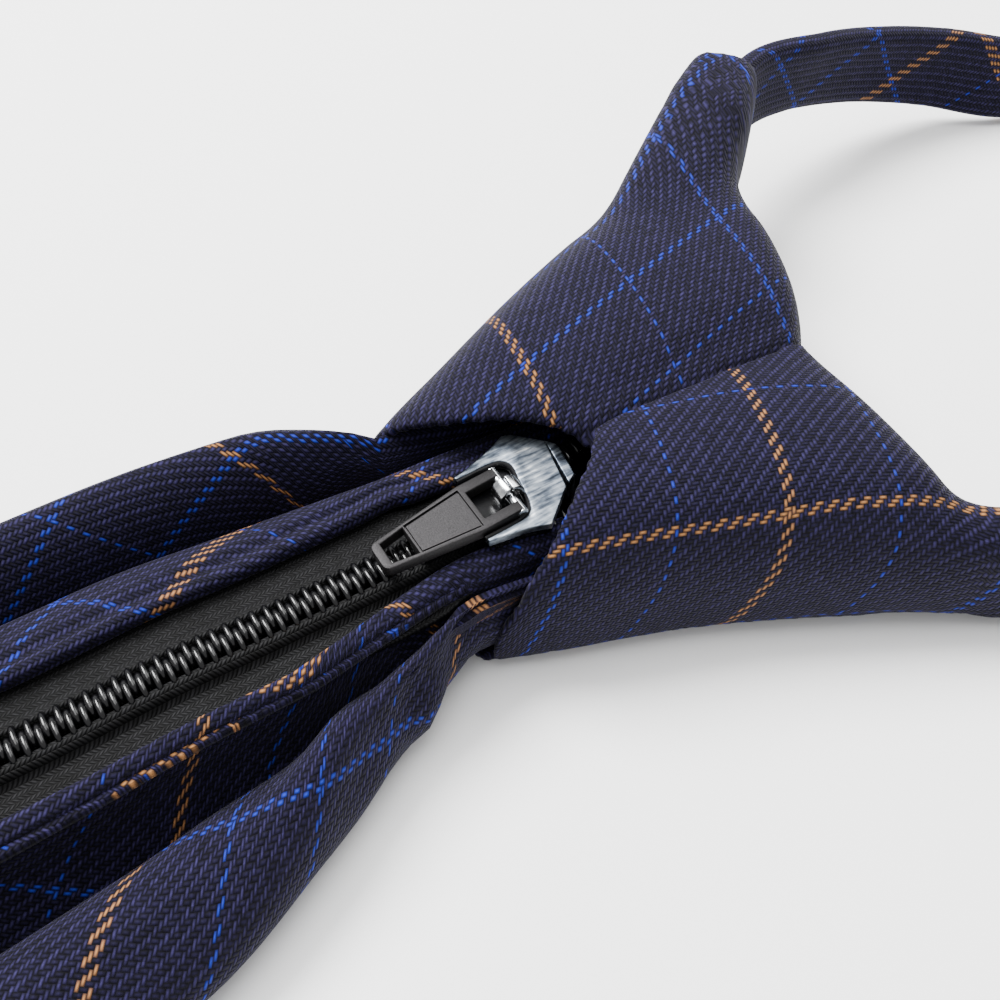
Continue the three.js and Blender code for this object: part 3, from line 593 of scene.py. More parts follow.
def makeKnotForm():  # closed soft form of the whole knot
    whole = bmesh.new()
    shares = [-0.1, -0.05] + [k * 0.96 / 30 for k in range(31)] + [0.98, 1.0, 1.01, 1.02]
    parts = [[knotSection(at) for at in shares]] + [wingRings(rows) for rows in wingRows.values()]
    for rings in parts:
        part = gridSheet(rings, closed=True, caps=True)
        mesh = bpy.data.meshes.new("part")
        part.to_mesh(mesh)
        part.free()
        whole.from_mesh(mesh)
        bpy.data.meshes.remove(mesh)
    form = objectFrom("knotForm", whole)
    addModifier(form, "REMESH", mode="VOXEL", voxel_size=knot["voxel"] * mm, use_smooth_shade=True)
    applyModifiers(form)
    bm = bmesh.new()
    bm.from_mesh(form.data)
    bpy.data.objects.remove(form)
    near = [v for v in bm.verts if any((v.co / mm - Vector(at)).length < reach for at, reach in wingRoots)]
    relax(bm, near, 18)
    relax(bm, bm.verts, 5)
    for vertex in bm.verts:
        vertex.co.z = max(vertex.co.z, 0)
    return bm


sectionCache = {}  # each section of the knot, worked out once


def flatPlace(point):  # mm across from the valley and mm along, as the panel would lie flat
    at = (point.y - knot["mouthY"]) / knot["length"]
    for _ in range(3):
        row = min(at, 1.0)
        left = columnAt(knotRows, "left", row) * knot["halfWidth"]
        share = min(max((knot["valleyX"] - point.x) / left, 0), 1)
        at = (point.y - knot["mouthY"]) / knot["length"] - columnAt(knotRows, "lift", row) * share ** 0.65
    key = round(min(max(at, 0), 0.99) * 60)
    if key not in sectionCache:
        ring = knotSection(key / 60)
        lengths = [0.0]
        for a, b in zip(ring, ring[1:]):
            lengths.append(lengths[-1] + math.hypot(b.x - a.x, b.z - a.z))
        sectionCache[key] = (ring, lengths, lengths[-1] + (ring[0] - ring[-1]).length)
    ring, lengths, whole = sectionCache[key]
    best = min(range(len(ring)), key=lambda n: (ring[n].x - point.x) ** 2 + (ring[n].z - point.z) ** 2)
    found = lengths[best]
    after, before = ring[(best + 1) % len(ring)], ring[best - 1]
    tangent = Vector((after.x - before.x, after.z - before.z))
    offset = Vector((point.x - ring[best].x, point.z - ring[best].z))
    if tangent.length > 0:
        found += offset.dot(tangent.normalized())
    if found > whole / 2:
        found -= whole
    return found, point.y


pattern = {  # degrees from across and mm of shift, for the warp and for the weft of each panel
    "left": ((196.5, 13.3), (81.0, -1.6)),
    "right": ((70.0, -20.3), (160.0, 12.6)),
    "blade": ((135.0, 20.3), (45.0, 46.0)),
    "band": ((135.0, 7.0), (45.0, 3.0)),
}


def patternAt(side, across, along):
    return tuple(math.cos(math.radians(turn)) * across + math.sin(math.radians(turn)) * along + shift
                 for turn, shift in pattern[side])


def makePanel(form, side):
    bm = form.copy()
    valley = knot["valleyX"] + 0.6
    ends = [wingEnd(rows) for rows in wingRows.values()]
    drop = []
    for face in bm.faces:
        c = face.calc_center_median() / mm
        under = c.z < 1.0 or (face.normal.z < -0.6 and c.z < 6)
        isTop = c.y > 2
        if side == "left":
            gone = not under and (c.x > valley + (knot["overlap"] if isTop and c.z > 9 else 0))
        else:
            gone = under or c.x < valley
        gone = gone or c.y < knot["mouthY"]
        if not under and c.y < knot["lipEnd"]:
            if side == "left" and c.z > 4:
                gone = gone or c.y < lipY(c.x, c.z, side)
            if side == "right":
                gone = gone or c.y < lipY(c.x, c.z, side)
        for end, out in ends:
            if (c - end).length < knot["wingCut"] and (c - end).dot(out) > -0.7:
                gone = True
        if gone:
            drop.append(face)
    bmesh.ops.delete(bm, geom=drop, context="FACES")
    loose = [v for v in bm.verts if not v.link_faces]
    bmesh.ops.delete(bm, geom=loose, context="VERTS")
    # the cut edges are laid on their true lines
    for vertex in [v for v in bm.verts if v.is_boundary]:
        c = vertex.co / mm
        for end, out in ends:
            if (c - end).length < knot["wingCut"] and abs((c - end).dot(out)) < 2:
                vertex.co -= out * (c - end).dot(out) * mm
        nearLip = c.y < knot["lipEnd"] and abs(c.y - lipY(c.x, c.z, side)) < 1.6
        if nearLip and c.z > (4 if side == "left" else 1.2):
            vertex.co.y = lipY(c.x, c.z, side) * mm
        elif c.y < knot["mouthY"] + 1.2:
            vertex.co.y = knot["mouthY"] * mm
        elif side == "right" and abs(c.x - valley) < 1.2 and c.z > 2:
            vertex.co.x = valley * mm
    relax(bm, [v for v in bm.verts if v.is_boundary], 2, 0.3)
    for vertex in bm.verts:
        c = vertex.co / mm
        if side == "left" and c.z > 5 and c.y > -2:  # the left panel dips under the right one's fold
            vertex.co.z -= knot["underfold"] * mm * ease(valley - 1.2, valley + 0.8, c.x)
        if c.z > 9:  # the lips curl down into the mouth
            inside = ease(0, knot["lipCurlWide"], c.y - lipY(c.x, c.z, side))
            vertex.co.z -= knot["lipCurl"] * mm * (1 - inside)
        if side == "right" and c.z > 5:
            vertex.co.z += knot["overfold"] * mm * (1 - ease(valley + 1, valley + 5, c.x))
    uv = bm.loops.layers.uv.new("flat")
    places = {}
    for face in bm.faces:
        for loop in face.loops:
            vertex = loop.vert
            if vertex not in places:
                places[vertex] = patternAt(side, *flatPlace(vertex.co / mm))
            loop[uv].uv = places[vertex]
    panel = objectFrom("knotPanel" + side.capitalize(), bm)
    addModifier(panel, "SOLIDIFY", thickness=knot["cloth"] * mm, offset=-1, use_even_offset=False)
    addModifier(panel, "SUBSURF", levels=1, render_levels=1)
    return panel


knotForm = makeKnotForm()
print("knot form", len(knotForm.faces))
for sideName in ("left", "right"):
    panel = makePanel(knotForm, sideName)
    finishPiece(panel, clothTwill, nodes=("knot_wrap",))
knotForm.free()
print("knot panels made")


# Chain line shared by the blade, tapes and coils

chain = {
    "height": 10.8, "length": 285, "shift": 0.8, "tape": 1.0, "tapeWidth": 6.4, "tapeTuck": 0.9,
    "parting": 0.3, "post": 2.2, "fan": 1.5, "endY": -309.0, "topY": 7.6,
}
slider = {"x": 0.2, "y": -4.4, "turn": -5.0}
chainRows = table("at level", [(-0.12, 1), (0.06, 1), (0.09, 1.03), (0.13, 0.98), (0.19, 1), (0.32, 0.88),
                               (0.5, 0.6), (0.75, 0.47), (1.1, 0.46)])


def tapeBottom(y):
    return chain["height"] * columnAt(chainRows, "level", (knot["mouthY"] - y) / chain["length"])


def openedAt(y):  # 0 where the chain is closed, 1 beside the slider's post
    return ease(slider["y"] - 0.8, slider["y"] + 2.4, y)


def partingAt(y):  # how far each half stands off the middle line
    fanned = ease(slider["y"] + 5, slider["y"] + 12, y)
    return mix(chain["parting"] / 2, chain["post"], openedAt(y)) + chain["fan"] * fanned


def shiftAt(y):
    return chain["shift"] * ease(knot["mouthY"] - 1, slider["y"] + 8.4, y)


# Blade with its zipper borders, one folded sheet

blade = {
    "length": 440, "halfWidth": 39, "floor": 1.8, "cloth": 0.85, "per": 4, "startY": 12.0,
    "border": 1.8, "borderWidth": 7.0, "tuck": 3.2, "gatherEnd": -130,
}
bladeRows = table("at Left Right lobeLeft lobeRight creaseLeft creaseRight dipLeft dipRight seat floor", [
    (-0.060, 0.36, 0.24, 1.20, 0.80, 0.62, 0.60, 0.00, 0.00, 0.78, 1.0),
    (-0.030, 0.38, 0.22, 1.28, 0.96, 0.64, 0.70, 0.02, 0.00, 0.80, 1.0),
    (0.000, 0.40, 0.200, 1.34, 1.10, 0.68, 0.78, 0.05, 0.00, 0.82, 1.0),
    (0.004, 0.44, 0.210, 1.38, 1.10, 0.68, 0.76, 0.08, 0.03, 0.84, 0.9),
    (0.014, 0.51, 0.265, 1.44, 1.07, 0.62, 0.66, 0.20, 0.14, 0.90, 0.5),
    (0.028, 0.60, 0.350, 1.48, 1.03, 0.58, 0.56, 0.35, 0.34, 0.94, 0.0),
    (0.050, 0.66, 0.470, 1.47, 0.98, 0.56, 0.49, 0.40, 0.52, 0.94, 0.0),
    (0.083, 0.68, 0.600, 1.40, 0.94, 0.56, 0.45, 0.40, 0.60, 0.94, 0.0),
    (0.150, 0.69, 0.680, 1.12, 0.86, 0.56, 0.52, 0.24, 0.34, 0.94, 0.0),
    (0.270, 0.73, 0.720, 0.68, 0.66, 0.52, 0.52, 0.06, 0.06, 0.94, 0.0),
    (0.500, 0.81, 0.810, 0.47, 0.47, 0.50, 0.50, 0.00, 0.00, 0.93, 0.0),
    (0.905, 1.00, 1.000, 0.44, 0.44, 0.50, 0.50, 0.00, 0.00, 0.93, 0.0),
    (0.920, 0.94, 0.940, 0.44, 0.44, 0.50, 0.50, 0.00, 0.00, 0.93, 0.0),
    (0.996, 0.09, 0.090, 0.42, 0.42, 0.50, 0.50, 0.00, 0.00, 0.90, 0.0),
    (1.000, 0.05, 0.050, 0.38, 0.38, 0.50, 0.50, 0.00, 0.00, 0.80, 0.0),
])
borderRows = {
    "Left": table("at width drop clear", [
        (-0.04, 0.30, 0.02, 0.16), (0.00, 0.36, 0.08, 0.08), (0.02, 0.50, 0.14, 0), (0.07, 0.76, 0.20, 0),
        (0.13, 0.88, 0.20, 0), (0.30, 0.88, 0.16, 0), (0.50, 0.88, 0.12, 0), (1.10, 0.88, 0.11, 0)]),
    "Right": table("at width drop clear", [
        (0.001, 0.06, 0.10, 0), (0.03, 0.08, 0.36, 0), (0.07, 0.12, 0.50, 0), (0.13, 0.20, 0.54, 0),
        (0.24, 0.46, 0.36, 0), (0.42, 0.88, 0.14, 0), (1.10, 0.88, 0.11, 0)]),
}
# waves of the gathers: mm high, radians per mm across and along, and where each starts
gathers = table("high across along start", [(0.28, 0.55, 0.03, 0), (0.42, 0.26, -0.045, 1)])


def bladeCorners(y, side):  # from the folded inner edge over the border, crease and lobe to the floor
    at = (knot["mouthY"] - y) / blade["length"]
    value = {key: columnAt(bladeRows, key, at) for key in bladeRows[0] if key != "at"}
    floor = value["floor"] * blade["floor"]
    seat = value["seat"] * tapeBottom(y)
    width = value[side] * blade["halfWidth"]
    crease = width * value["crease" + side]
    lobe = max(value["lobe" + side] * chain["height"], seat * 0.94)
    height = lobe - floor
    dip = max(seat - value["dip" + side] * chain["height"], floor + 0.3 * height)
    roll = min(0.45 * height, 0.4 * width)
    chainAt = (knot["mouthY"] - y) / chain["length"]
    border = {key: columnAt(borderRows[side], key, chainAt) for key in ("width", "drop", "clear")}
    shut = ease(chain["endY"] + 9, chain["endY"] - 9, y)  # past the zipper the two edges meet
    over = chain["parting"] / 2 + chain["tapeWidth"] + 0.3
    inner = mix(over - 1.1 + border["clear"] * blade["borderWidth"], 0.45, shut)
    outer = over + border["width"] * blade["borderWidth"]
    low = mix(tapeBottom(y) + chain["tape"] + 0.15, seat - 0.9, shut)
    high = low + blade["border"]
    fall = border["drop"] * chain["height"] * (1 - shut)
    outer = min(outer, crease - 0.6, width * 0.8)
    inner = min(inner, max(outer - 1.6, 0.45), width * 0.35)
    tuck = min(blade["tuck"], max(outer - inner, 0.4))
    flatPart = max(outer - inner, 0.4)
    groove = 0.34 * ease(2.5, 4.5, flatPart)
    lip, mid = min(0.9, flatPart * 0.3), min(1.9, flatPart * 0.55)
    after = mix(mid, flatPart, 0.25)
    rim = [(inner + tuck, low + 0.05), (inner + tuck * 0.4, low), (inner + lip * 0.13, low + 0.3),
           (inner - 0.05, low + 0.85), (inner + lip * 0.28, high - 0.2), (inner + lip, high),
           (inner + mid, high - groove - fall * 0.04), (inner + after, high - fall * 0.08)]
    slope = [(inner + mix(after, flatPart, 0.55), high - fall * 0.5), (inner + flatPart, high - fall)]
    outer = inner + flatPart
    crease = max(crease, outer + 0.3)
    bowl = [(mix(outer, crease, 0.75), mix(high - fall, dip, 0.8)), (crease + 0.2, dip)]
    wall = [(crease + (width - crease) * 0.16, mix(dip, lobe, 0.62)),
            (crease + (width - crease) * 0.5, lobe)]
    flank = [(width - roll * 0.3, floor + height * 0.76), (width, floor + height * 0.45),
             (width - roll * 0.3, floor + height * 0.13), (width - roll, floor),
             ((width - roll) * 0.5, floor)]
    return rim + slope + bowl + wall + flank, floor


def bladeRing(y):
    left, floor = bladeCorners(y, "Left")
    right, floor = bladeCorners(y, "Right")
    shift = shiftAt(y)
    corners = [(shift - x, y, z) for x, z in left] + [(0, y, floor)]
    corners += [(shift + x, y, z) for x, z in reversed(right)]
    ring = smoothLine(corners, per=blade["per"])
    for point in ring:
        point.z = max(point.z, floor)
    return ring


def makeBlade():
    tip = knot["mouthY"] - blade["length"]
    places = [blade["startY"] - k * 1.5 for k in range(16)]
    for stop, step in ((blade["gatherEnd"], 1.6), (tip + 46, 4), (tip + 1.5, 1.5)):
        while places[-1] > stop:
            places.append(places[-1] - step)
    places.append(tip)
    rings = [bladeRing(y) for y in places]
    for row, y in enumerate(places):  # soft gathers run down from the knot and fade out
        fade = ease(-110, -30, y) * (1 - ease(-16, -8, y))
        if fade:
            ring = rings[row]
            lengths = lengthsOf(ring)
            shifts = []
            for k, s in enumerate(lengths):
                chord = chordAt(ring, k)
                normal = Vector((chord.z, 0, -chord.x)).normalized()
                wave = sum(fold["high"] * math.sin(s * fold["across"] + y * fold["along"] + fold["start"])
                           for fold in gathers)
                keep = ease(11, 19, min(s, lengths[-1] - s)) * ease(1.2, 4, ring[k].z)
                shifts.append(normal * wave * fade * keep)
            rings[row] = [point + shift for point, shift in zip(ring, shifts)]
    flat = []
    last = len(rings[0]) - 1
    creaseAt = 11 * blade["per"]
    halves = [lengthsOf(ring)[last // 2] for ring in rings]
    ungathered = next(half for half, y in zip(halves, places) if y <= blade["gatherEnd"])
    for ring, half, y in zip(rings, halves, places):
        taken = max(ungathered - half, 0) if y > blade["gatherEnd"] else 0  # cloth lost in the gathers
        lengths = lengthsOf(ring)
        row = []
        for k, length in enumerate(lengths):
            inEdge = 1 - ease(creaseAt - 3, creaseAt + 5, min(k, last - k))
            hidden = taken * inEdge
            row.append(length - half + (hidden if k > last / 2 else -hidden))
        flat.append(row)

    def flatAt(row, column):
        return patternAt("blade", flat[row][column], places[row])

    bm = gridSheet(rings, flatAt)
    obj = objectFrom("bladeCloth", bm)
    addModifier(obj, "SOLIDIFY", thickness=blade["cloth"] * mm, offset=-1, use_even_offset=False)
    return obj, max(max(row) - min(row) for row in flat) * mm, (places[0] - places[-1]) * mm


bladeCloth, bladeWide, bladeLong = makeBlade()
finishPiece(bladeCloth, clothTwill,
            nodes=("front_blade", "zip_border_left", "zip_border_right"))


# Neck band

band = {
    "width": 11.2, "thick": 2.4, "fold": 0.55, "halfWidth": 41.8, "reach": 135.0, "rimY": 32.0,
    "rings": 260, "around": 44,
}
bandRows = table("x y rise lean", [  # x and y as shares of the loop, rise of the width, lean in degrees
    (-0.660, 0.030, 0.66, 0), (-0.838, 0.105, 0.88, 2), (-0.966, 0.178, 0.88, 4), (-0.995, 0.250, 0.77, 12),
    (-1.000, 0.343, 0.52, 8), (-0.943, 0.433, 0.26, 0), (-0.833, 0.504, 0.06, -12), (-0.718, 0.585, 0, -8),
    (-0.598, 0.685, 0, 0), (-0.478, 0.785, 0, 0), (-0.371, 0.881, 0, 0), (-0.227, 0.963, 0, 0), (0, 1, 0, 0),
    (0.227, 0.963, 0, 0), (0.371, 0.881, 0, 0), (0.478, 0.785, 0, 0), (0.598, 0.685, 0, 0),
    (0.730, 0.585, 0, 0), (0.873, 0.481, 0, 0), (0.957, 0.370, 0, 0), (0.933, 0.267, 0.03, 0),
    (0.862, 0.178, 0.09, 0), (0.767, 0.100, 0.135, 0), (0.660, 0.030, 0.14, 0),
])


def makeBand():
    centres = [Vector((row["x"] * band["halfWidth"], band["rimY"] + row["y"] * band["reach"],
                       band["width"] * (0.5 + row["rise"]))) for row in bandRows]
    line = smoothLine(centres, band["rings"])
    half, tall, fold = band["thick"] / 2, band["width"] / 2, band["fold"]
    corners = [(half, -tall + fold), (half * 1.02, 0), (half, tall - fold), (half * 0.55, tall - 0.1),
               (0, tall), (-half * 0.55, tall - 0.1), (-half, tall - fold), (-half * 1.02, 0),
               (-half, -tall + fold), (-half * 0.55, -tall + 0.1), (0, -tall), (half * 0.55, -tall + 0.1)]
    section = smoothLine([(a, b, 0) for a, b in corners], band["around"], closed=True)
    around, along = [0.0], lengthsOf(line)
    for a, b in zip(section, section[1:] + section[:1]):
        around.append(around[-1] + math.hypot(b.x - a.x, b.y - a.y))
    rings = []
    for k, centre in enumerate(line):
        tangent = chordAt(line, k).normalized()
        near = min(range(len(centres) - 1),
                   key=lambda n: (centres[n] - centre).length + (centres[n + 1] - centre).length)
        span = (centre - centres[near]).length / max((centres[near + 1] - centres[near]).length, 1e-6)
        lean = math.radians(mix(bandRows[near]["lean"], bandRows[near + 1]["lean"], min(span, 1)))
        up = Matrix.Rotation(lean, 3, tangent) @ Vector((0, 0, 1))
        up = (up - tangent * up.dot(tangent)).normalized()
        across = tangent.cross(up)
        ring = [centre + across * corner.x + up * corner.y for corner in section]
        for point in ring:
            point.z = max(point.z, 0)
        rings.append(ring)

    def flatAt(row, column):
        return patternAt("band", around[column], along[row])

    bm = gridSheet(rings, flatAt, closed=True, caps=True)
    return objectFrom("bandCloth", bm), around[-1] * mm, along[-1] * mm


bandCloth, bandWide, bandLong = makeBand()
finishPiece(bandCloth, clothTwill, nodes=("neck_band",))
print("band made", round(bandWide, 4), round(bandLong, 4))


# Zipper tapes and coils

coil = {
    "pitch": 1.24, "reach": 1.1, "middle": 0.3, "openMiddle": 0.9, "high": 1.45, "seat": 0.32, "wire": 0.31,
    "topGap": 0.6, "around": 6, "steps": 14,
}
# the tape's fold over the coil's sewn side: mm from the tape's inner edge, and mm above the tape
tapeFold = [(0.0, 0.05), (0.75, 0.1), (0.95, 0.75), (1.15, 1.3), (1.5, 1.5), (2.0, 1.2), (2.35, 0.6),
            (2.6, 0.15), (3.0, 0.0), (3.8, 0.0), (5.0, 0.0)]


def makeTape(name, side):
    ys = []
    y = chain["topY"]
    while y > chain["endY"] + 0.9:
        ys.append(y)
        y -= 1.5 if y > -100 else 4
    ys.append(chain["endY"] + 0.9)
    rings = []
    for y in ys:
        inner = partingAt(y)
        outer = chain["parting"] / 2 + chain["tapeWidth"] - chain["tapeTuck"] * ease(
            knot["mouthY"] - 4, knot["mouthY"], y)
        top = tapeBottom(y) + chain["tape"]
        corners = [(inner + x, top + z) for x, z in tapeFold if x < outer - inner - 0.6] + [(outer, top)]
        ring = smoothLine([(shiftAt(y) + side * x, y, z) for x, z in corners], 30)
        rings.append(ring if side > 0 else ring[::-1])

    def flatAt(row, column):
        return abs(rings[row][column].x - shiftAt(ys[row])), ys[row]

    rings = rings[::-1]
    ys = ys[::-1]
    obj = objectFrom(name, gridSheet(rings, flatAt))
    addModifier(obj, "SOLIDIFY", thickness=0.6 * mm, offset=-1)
    return obj


def coilPoint(turn, side):
    angle = 2 * math.pi * turn
    done = math.floor(turn) + ease(0.5, 1, turn % 1)  # the lower leg carries the coil along
    y = chain["topY"] - coil["topGap"] - coil["pitch"] * (done + (0.5 if side > 0 else 0))
    middle = partingAt(y) + mix(coil["middle"], coil["openMiddle"], openedAt(y))
    out, rise = math.cos(angle), math.sin(angle)
    x = middle + coil["reach"] * math.copysign(abs(out) ** 0.85, out)
    high = coil["high"] / 2 * (1 + math.copysign(abs(rise) ** 0.7, rise))
    z = tapeBottom(y) + chain["tape"] + coil["seat"] + high
    return Vector((shiftAt(y) + side * x, y, z)), max(0, -out)


def makeCoil(name, side):
    turns = int((chain["topY"] - coil["topGap"] + chain["length"] - knot["mouthY"]) / coil["pitch"]) - 1
    steps = turns * coil["steps"]
    centres, heads = zip(*[coilPoint(k / coil["steps"], side) for k in range(steps + 1)])
    rings = []
    for k, (centre, head) in enumerate(zip(centres, heads)):
        tangent = chordAt(centres, k).normalized()
        across = tangent.cross(Vector((0, 1, 0))).normalized()
        up = across.cross(tangent)
        wide = coil["wire"] * (1 + 0.3 * head)
        rings.append([centre + across * coil["wire"] * math.cos(a) + up * wide * math.sin(a)
                      for a in circleAngles(coil["around"])])
    return objectFrom(name, gridSheet(rings, closed=True, caps=True))


for sideName, side in (("Left", -1), ("Right", 1)):
    tape = makeTape("zipTape" + sideName, side)
    finishPiece(tape, blackTape, nodes=("zip_tape_" + sideName.lower(),))
    row = makeCoil("zipCoil" + sideName, side)
    finishPiece(row, blackNylon, nodes=("zip_coil_" + sideName.lower(),))
print("tapes and coils made")


# Stop, slider and pull

def plateBetween(name, outline, bottom, top, bevel=0.0, segments=2):  # plate of one outline in mm
    bm = bmesh.new()
    face = bm.faces.new([bm.verts.new((x * mm, y * mm, bottom * mm)) for x, y in outline])
    made = bmesh.ops.extrude_face_region(bm, geom=[face])["geom"]
    raised = [part for part in made if isinstance(part, bmesh.types.BMVert)]
    bmesh.ops.translate(bm, verts=raised, vec=(0, 0, (top - bottom) * mm))
    bmesh.ops.recalc_face_normals(bm, faces=bm.faces)
    if bevel:
        edges = [edge for edge in bm.edges if all(v.co.z > (top - 0.01) * mm for v in edge.verts)]
        roundEdges(bm, edges, bevel, segments)
    return objectFrom(name, bm, smooth=False)


def strokes(*lines):  # outline of straight corners and smooth stretches
    found = []
    for line in lines:
        points = smoothLine([(x, y, 0) for x, y in line], 4 * len(line)) if len(line) > 2 else [
            Vector((x, y, 0)) for x, y in line]
        found += [(p.x, p.y) for p in points]
    return [point for k, point in enumerate(found) if math.dist(point, found[k - 1]) > 0.02]


def joined(name, parts):
    whole = bmesh.new()
    for part in parts:
        whole.from_mesh(part.data)
        bpy.data.objects.remove(part)
    return objectFrom(name, whole, smooth=False)


def moved(obj, matrix):
    obj.data.transform(matrix)
    return obj


def softShade(obj, degrees=35):
    obj.data.shade_smooth()
    obj.data.set_sharp_from_angle(angle=math.radians(degrees))
    return obj


sliderForm = {
    "plateTop": 15.45, "plateLow": 14.75, "shellLow": 14.2, "bed": 14.62, "rim": 15.1,
    "noseTop": 15.1, "noseLow": 13.2, "wallTop": 14.3, "wallLow": 12.0, "lowerTop": 10.5, "lowerLow": 9.3,
    "pinY": -0.65, "pinZ": 15.8,
}
# outlines in mm from the slider's middle, seen from above
plateLeft = [(-4.3, -3.95), (-4.85, -1.75), (-5.6, 0.6), (-6.5, 2.6)]
plateFront = [(-6.5, 2.6), (-6.25, 3.4), (-4.5, 5.2), (-3.8, 5.85), (1.95, 4.6), (4.95, 1.1)]
plateRight = [(4.95, 1.1), (4.3, -0.9), (4.0, -3.0), (3.75, -4.8)]
recessRight = [(3.35, -4.75), (3.2, -1.9), (3.05, -0.5), (2.55, 0.3), (1.65, 0.70)]
recessLeft = [(-1.25, 1.24), (-2.95, 1.5), (-3.85, 0.85), (-4.05, -0.6), (-3.95, -3.75)]


def makeSlider():
    place = Matrix.Translation(Vector((slider["x"], slider["y"], 0)) * mm)
    form = sliderForm
    plate = plateBetween("sliderPlate", strokes(plateLeft, plateFront[:2], plateFront[2:4], plateFront[4:],
                                                plateRight, recessRight, recessLeft),
                         form["plateLow"], form["plateTop"], 0.16, 3)
    noseTip = [(-4.35, 5.95), (-3.3, 6.75), (-2.7, 6.85), (0.9, 6.3), (1.75, 5.05)]
    nose = plateBetween("nose", noseTip, form["noseLow"], form["noseTop"], 0.22, 3)
    plate = joined("sliderPlate", [plate, nose])
    softShade(moved(plate, place))
    # black parts: bed under the pull, rim round the bed, walls and lower plate
    bed = plateBetween("bed", strokes([(-4.15, -3.7), (-4.6, -1.75), (-5.3, 0.6), (-6.1, 2.6)],
                                      [(-6.1, 2.9), (-3.7, 5.6)], [(1.7, 4.4), (4.6, 1.1)],
                                      [(4.6, 1.1), (4.1, -0.9), (3.8, -3.0), (3.6, -4.6)]),
                       form["shellLow"], form["bed"])
    rimLine = [Vector((x, y, form["rim"])) for x, y in strokes(recessRight, recessLeft)]
    rimLine = smoothLine([(p.x * 0.95, p.y - 0.12, p.z) for p in rimLine], 40)
    rings = []
    for k, centre in enumerate(rimLine):
        tangent = chordAt(rimLine, k).normalized()
        across = tangent.cross(Vector((0, 0, 1)))
        rings.append([centre + across * 0.3 * math.cos(a) + Vector((0, 0, 0.42 * math.sin(a)))
                      for a in circleAngles(10)])
    rim = objectFrom("rim", gridSheet(rings, closed=True, caps=True))
    rightWall = plateBetween("wall", [(3.4, -4.1), (3.75, -3.9), (4.0, -1.0), (4.6, 1.0), (4.0, 2.0),
                                      (3.4, 2.0)], form["wallLow"], form["wallTop"])
    leftWall = plateBetween("wall", [(-3.3, -3.5), (-3.3, 3.0), (-5.2, 3.0), (-5.9, 2.5), (-5.2, 0.7),
                                     (-4.6, -1.7), (-4.1, -3.5)], form["wallLow"], form["wallTop"])
    lower = plateBetween("lower", [(-3.3, -4.2), (3.3, -4.2), (3.6, 0.5), (5.2, 2.2), (2.6, 7.6), (-3.0, 7.6),
                                   (-5.2, 2.2), (-3.8, 0.5)], form["lowerLow"], form["lowerTop"])
    post = plateBetween("post", [(-0.4, 2.6), (0.9, 3.6), (0.9, 6.0), (-1.7, 6.0), (-1.7, 3.6)],
                        form["lowerTop"] - 0.1, form["wallTop"])
    shell = joined("sliderShell", [bed, rim, rightWall, leftWall, lower, post])
    softShade(moved(shell, place))
    finishPiece(plate, wornZinc, nodes=("slider_body",))
    finishPiece(shell, blackPaint, nodes=("slider_body",))


def pinPlace():  # the pull's frame, with its pin along X and its tip towards -Y
    turn = Matrix.Rotation(math.radians(slider["turn"]), 4, "Z")
    at = turn @ Vector((0, sliderForm["pinY"], sliderForm["pinZ"]))
    centre = Vector((at.x + slider["x"], at.y + slider["y"], at.z))
    bothTurns = math.radians(slider["turn"] + pull["turn"])
    return Matrix.Translation(centre * mm) @ Matrix.Rotation(bothTurns, 4, "Z")


pull = {
    "turn": 5.8, "tilt": 4.25, "half": 2.8, "tipHalf": 1.58, "length": 13.5, "thick": 1.2, "prong": 1.12,
    "prongLength": 3.35, "bar": 0.5, "rim": 0.42, "window": 2.5, "tipFrame": 0.9, "pin": 0.5,
}


bailForm = {"half": 0.85, "inner": 0.8, "outer": 1.38, "foot": 0.25, "split": (1.42, 1.62), "steps": 14}


def makeBail():  # a bright hoop over the pin, in two halves
    half, inner, outer, foot = (bailForm[key] for key in ("half", "inner", "outer", "foot"))
    section = [(-half, inner), (half, inner), (half, outer), (-half, outer)]
    parts = []
    for start, end in ((-foot, bailForm["split"][0]), (bailForm["split"][1], math.pi + foot)):
        rings = []
        for k in range(bailForm["steps"] + 1):
            angle = mix(start, end, k / bailForm["steps"])
            rings.append([Vector((across, -reach * math.cos(angle), reach * math.sin(angle)))
                          for across, reach in section])
        part = gridSheet(rings, closed=True, caps=True)
        roundEdges(part, [e for e in part.edges if e.calc_face_angle(0) > 1.2], 0.12, 3)
        parts.append(objectFrom("half", part))
    bail = joined("sliderBail", parts)
    softShade(moved(bail, pinPlace() @ Matrix.Translation((0, 0.1 * mm, 0))))
    finishPiece(bail, brightSteel, nodes=("slider_bail",))


